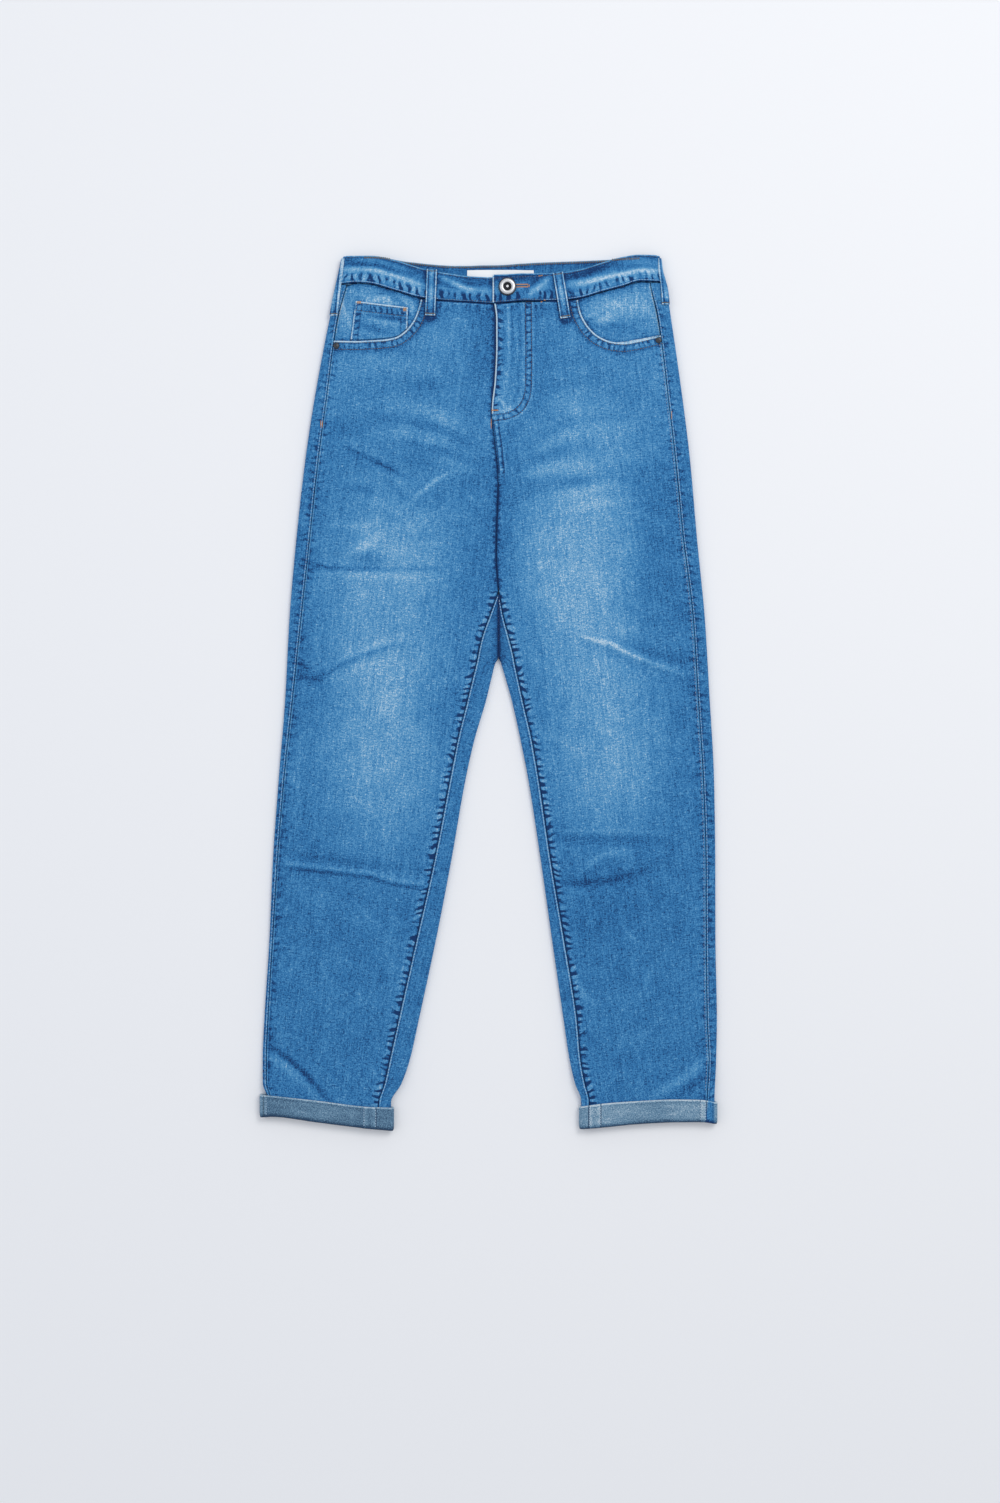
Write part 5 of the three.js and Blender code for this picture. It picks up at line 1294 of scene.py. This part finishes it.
# Hidden side: yoke seams, back pockets, centre back seam and waistband
hidden = {"pitch": 3.6, "below": True}
for leg in legs:
    x = np.linspace(seatX + 2 * leg["sign"], seatX + 176 * leg["sign"], 90)
    for shift in (-1.8, -7):
        sewLine(pale, np.stack([x, yokeSeam(leg, x) + shift], 1), **hidden)
    middle = pocketMiddles[leg["name"]]
    half, low = pocketHalf - 2, backPocket["lowWidth"] / 2 - 2
    top, shoulder, hemY = backPocket["top"] - 2, backPocket["shoulder"] + 2, backPocket["top"] - 12
    outline = [(middle - half, top), (middle - low, shoulder), (middle, backPocket["point"] + 2),
               (middle + low, shoulder), (middle + half, top)]
    sewLine(pale, polyline(outline, np.linspace(0, 1, 200)), **hidden)
    sewLine(pale, [(middle - half, hemY), (middle + half, hemY)], **hidden)
sewLine(pale, np.stack([np.full(120, seatX + 2.4), np.linspace(46, 372, 120)], 1), **hidden)
x = np.linspace(-160, 190, 200)
sewLine(pale, np.stack([x, backSeam(x) + 2], 1), **hidden)
sewLine(pale, np.stack([x, backTop(x) - 2], 1), **hidden)

# Cuffs: the edges of the pressed seam allowances, but not on the outer fold
for leg in legs:
    for x in [x for a, b in cuffSeams[leg["name"]] for x in (a + 0.6, b - 0.6) if abs(x) < 252]:
        y = np.linspace(float(leg["cuffLow"](x)) + 2, float(leg["cuffTop"](x)) - 2, 12)
        sewLine(pale, np.stack([np.full(12, x), y], 1), pitch=2.6, length=2.0, width=0.9)

bpy.data.meshes.remove(rowMesh)
threads = [newObject(name, bm, material) for name, bm, material in (
    ("stitches_pale", pale, paleThread), ("stitches_brown", brown, brownThread),
    ("stitches_orange", orange, orangeThread), ("stitches_navy", navy, navyThread))]
print("stage: stitches made", [len(thread.data.polygons) for thread in threads])


# Button and rivets: half sections of radius and height, spun round their axis on the foot of the node
def turnedPiece(name, section, node, material, steps=48):
    low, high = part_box(node)
    bm = bmesh.new()
    verts = [bm.verts.new((radius * mm, 0, height * mm)) for radius, height in section]
    edges = [bm.edges.new(pair) for pair in zip(verts[:-1], verts[1:])]
    bmesh.ops.spin(bm, geom=verts + edges, cent=(0, 0, 0), axis=(0, 0, 1), angle=2 * math.pi, steps=steps,
                   use_merge=True)
    bmesh.ops.remove_doubles(bm, verts=bm.verts, dist=1e-6)
    bmesh.ops.recalc_face_normals(bm, faces=bm.faces)
    bmesh.ops.translate(bm, verts=bm.verts, vec=Vector(((low.x + high.x) / 2, (low.y + high.y) / 2, low.z)))
    piece = newObject(name, bm, material)
    return piece


buttonLook = {
    "skirt": [(0.001, 0), (9.4, 0), (10, 0.5), (10, 1.2), (9.5, 1.7), (8.6, 1.8), (0.001, 1.7)],
    "rim": [(0.001, 1.8), (8.5, 1.8), (8.8, 2.1), (8.6, 2.6), (7.9, 3.0), (6.9, 3.2), (5.8, 3.15), (4.9, 2.9),
         (4.6, 2.5), (4.4, 2.1), (0.001, 2.1)],
    "well": [(0.001, 2.12), (4.4, 2.12), (4.5, 2.75), (3.9, 2.5), (3.2, 2.3), (0.001, 2.3)],
    "post": [(0.001, 2.3), (1.5, 2.3), (1.6, 2.7), (1.2, 3.0), (0.6, 2.95), (0.001, 2.7)],
    "rivet": [(0.001, 0), (3.3, 0), (3.5, 0.3), (3.2, 0.8), (2.2, 1.3), (1.4, 1.2), (1.1, 1.5), (0.001, 1.7)],
}
button = turnedPiece("button_rim", buttonLook["rim"], "button", nickel)
# The dark skirt round the rim is a painted shadow at the button's edge
turnedPiece("button_skirt", buttonLook["skirt"], "button", darkNickel)
# The darkest metal in the well is painted shade in the hollow
turnedPiece("button_well", buttonLook["well"], "button", shadeNickel, 32)
turnedPiece("button_post", buttonLook["post"], "button", nickel, 24)
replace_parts(button, "button")
for node in ("rivet_right", "rivet_left"):
    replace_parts(turnedPiece(node + "_metal", buttonLook["rivet"], node, darkNickel, 24), node)
print("stage: metal made")

# Cut of the cloth: what shows of each piece, laid flat: width, length and area in metres
cut = {
    "right": {"front": (0.26, 0.93, 0.165), "back": (0.29, 0.93, 0.205), "cuff": (0.32, 0.027, 0.0082),
              "facing": (0.108, 0.076, 0.0060), "yoke": (0.19, 0.084, 0.0096)},
    "left": {"front": (0.26, 0.93, 0.166), "back": (0.29, 0.93, 0.204), "cuff": (0.325, 0.0275, 0.0088),
             "facing": (0.108, 0.076, 0.0058), "yoke": (0.185, 0.084, 0.0089)},
}
for name in cut:
    back = "back_" + name
    for pieces, kind, held, under in ((fronts, "front", "laid", back), (backs, "back", "laid", "floor"),
                                      (cuffs, "cuff", "folded", "floor"), (facings, "facing", "laid", back),
                                      (yokes, "yoke", "laid", "floor")):
        width, length, area = cut[name][kind]

# Floor, light and camera
floorBm = bmesh.new()
bmesh.ops.create_grid(floorBm, x_segments=1, y_segments=1, size=4)
floorMesh = bpy.data.meshes.new("floor")
floorBm.to_mesh(floorMesh)
floorBm.free()
floor = bpy.data.objects.new("floor", floorMesh)
bpy.context.scene.collection.objects.link(floor)
floor.location.z = -0.2 * mm
# Matt painted board: an even bluish white that only takes soft shadows
floorMesh.materials.append(plainMaterial("matt_painted_board", "f3f4f7", 0.9, specular=0.1))

world = bpy.data.worlds.new("studio")
bpy.context.scene.world = world
world.use_nodes = True
world.node_tree.nodes["Background"].inputs["Color"].default_value = hexColour("f0f3f8")
world.node_tree.nodes["Background"].inputs["Strength"].default_value = 0.73
# name, place, size, watts, colour
lights = [("softbox", (1.3, 1.5, 2.6), 1.4, 33, "fffdf8"), ("window", (-2.2, 0.4, 2.4), 2.4, 11, "f4f7ff")]
for name, place, size, watts, colour in lights:
    lamp = bpy.data.lights.new(name, "AREA")
    lamp.size = size
    lamp.energy = watts
    lamp.color = hexColour(colour)[:3]
    lit = bpy.data.objects.new(name, lamp)
    lit.location = place
    lit.rotation_euler = (-Vector(place)).to_track_quat("-Z", "Y").to_euler()
    bpy.context.scene.collection.objects.link(lit)

camera = bpy.data.cameras.new("camera")
camera.lens = 50
cameraObject = bpy.data.objects.new("camera", camera)
cameraObject.location = (0.0129, -0.0664, 2.355)
bpy.context.scene.collection.objects.link(cameraObject)
bpy.context.scene.camera = cameraObject
bpy.context.scene.view_settings.view_transform = "Standard"
print("stage: floor, light and camera set")
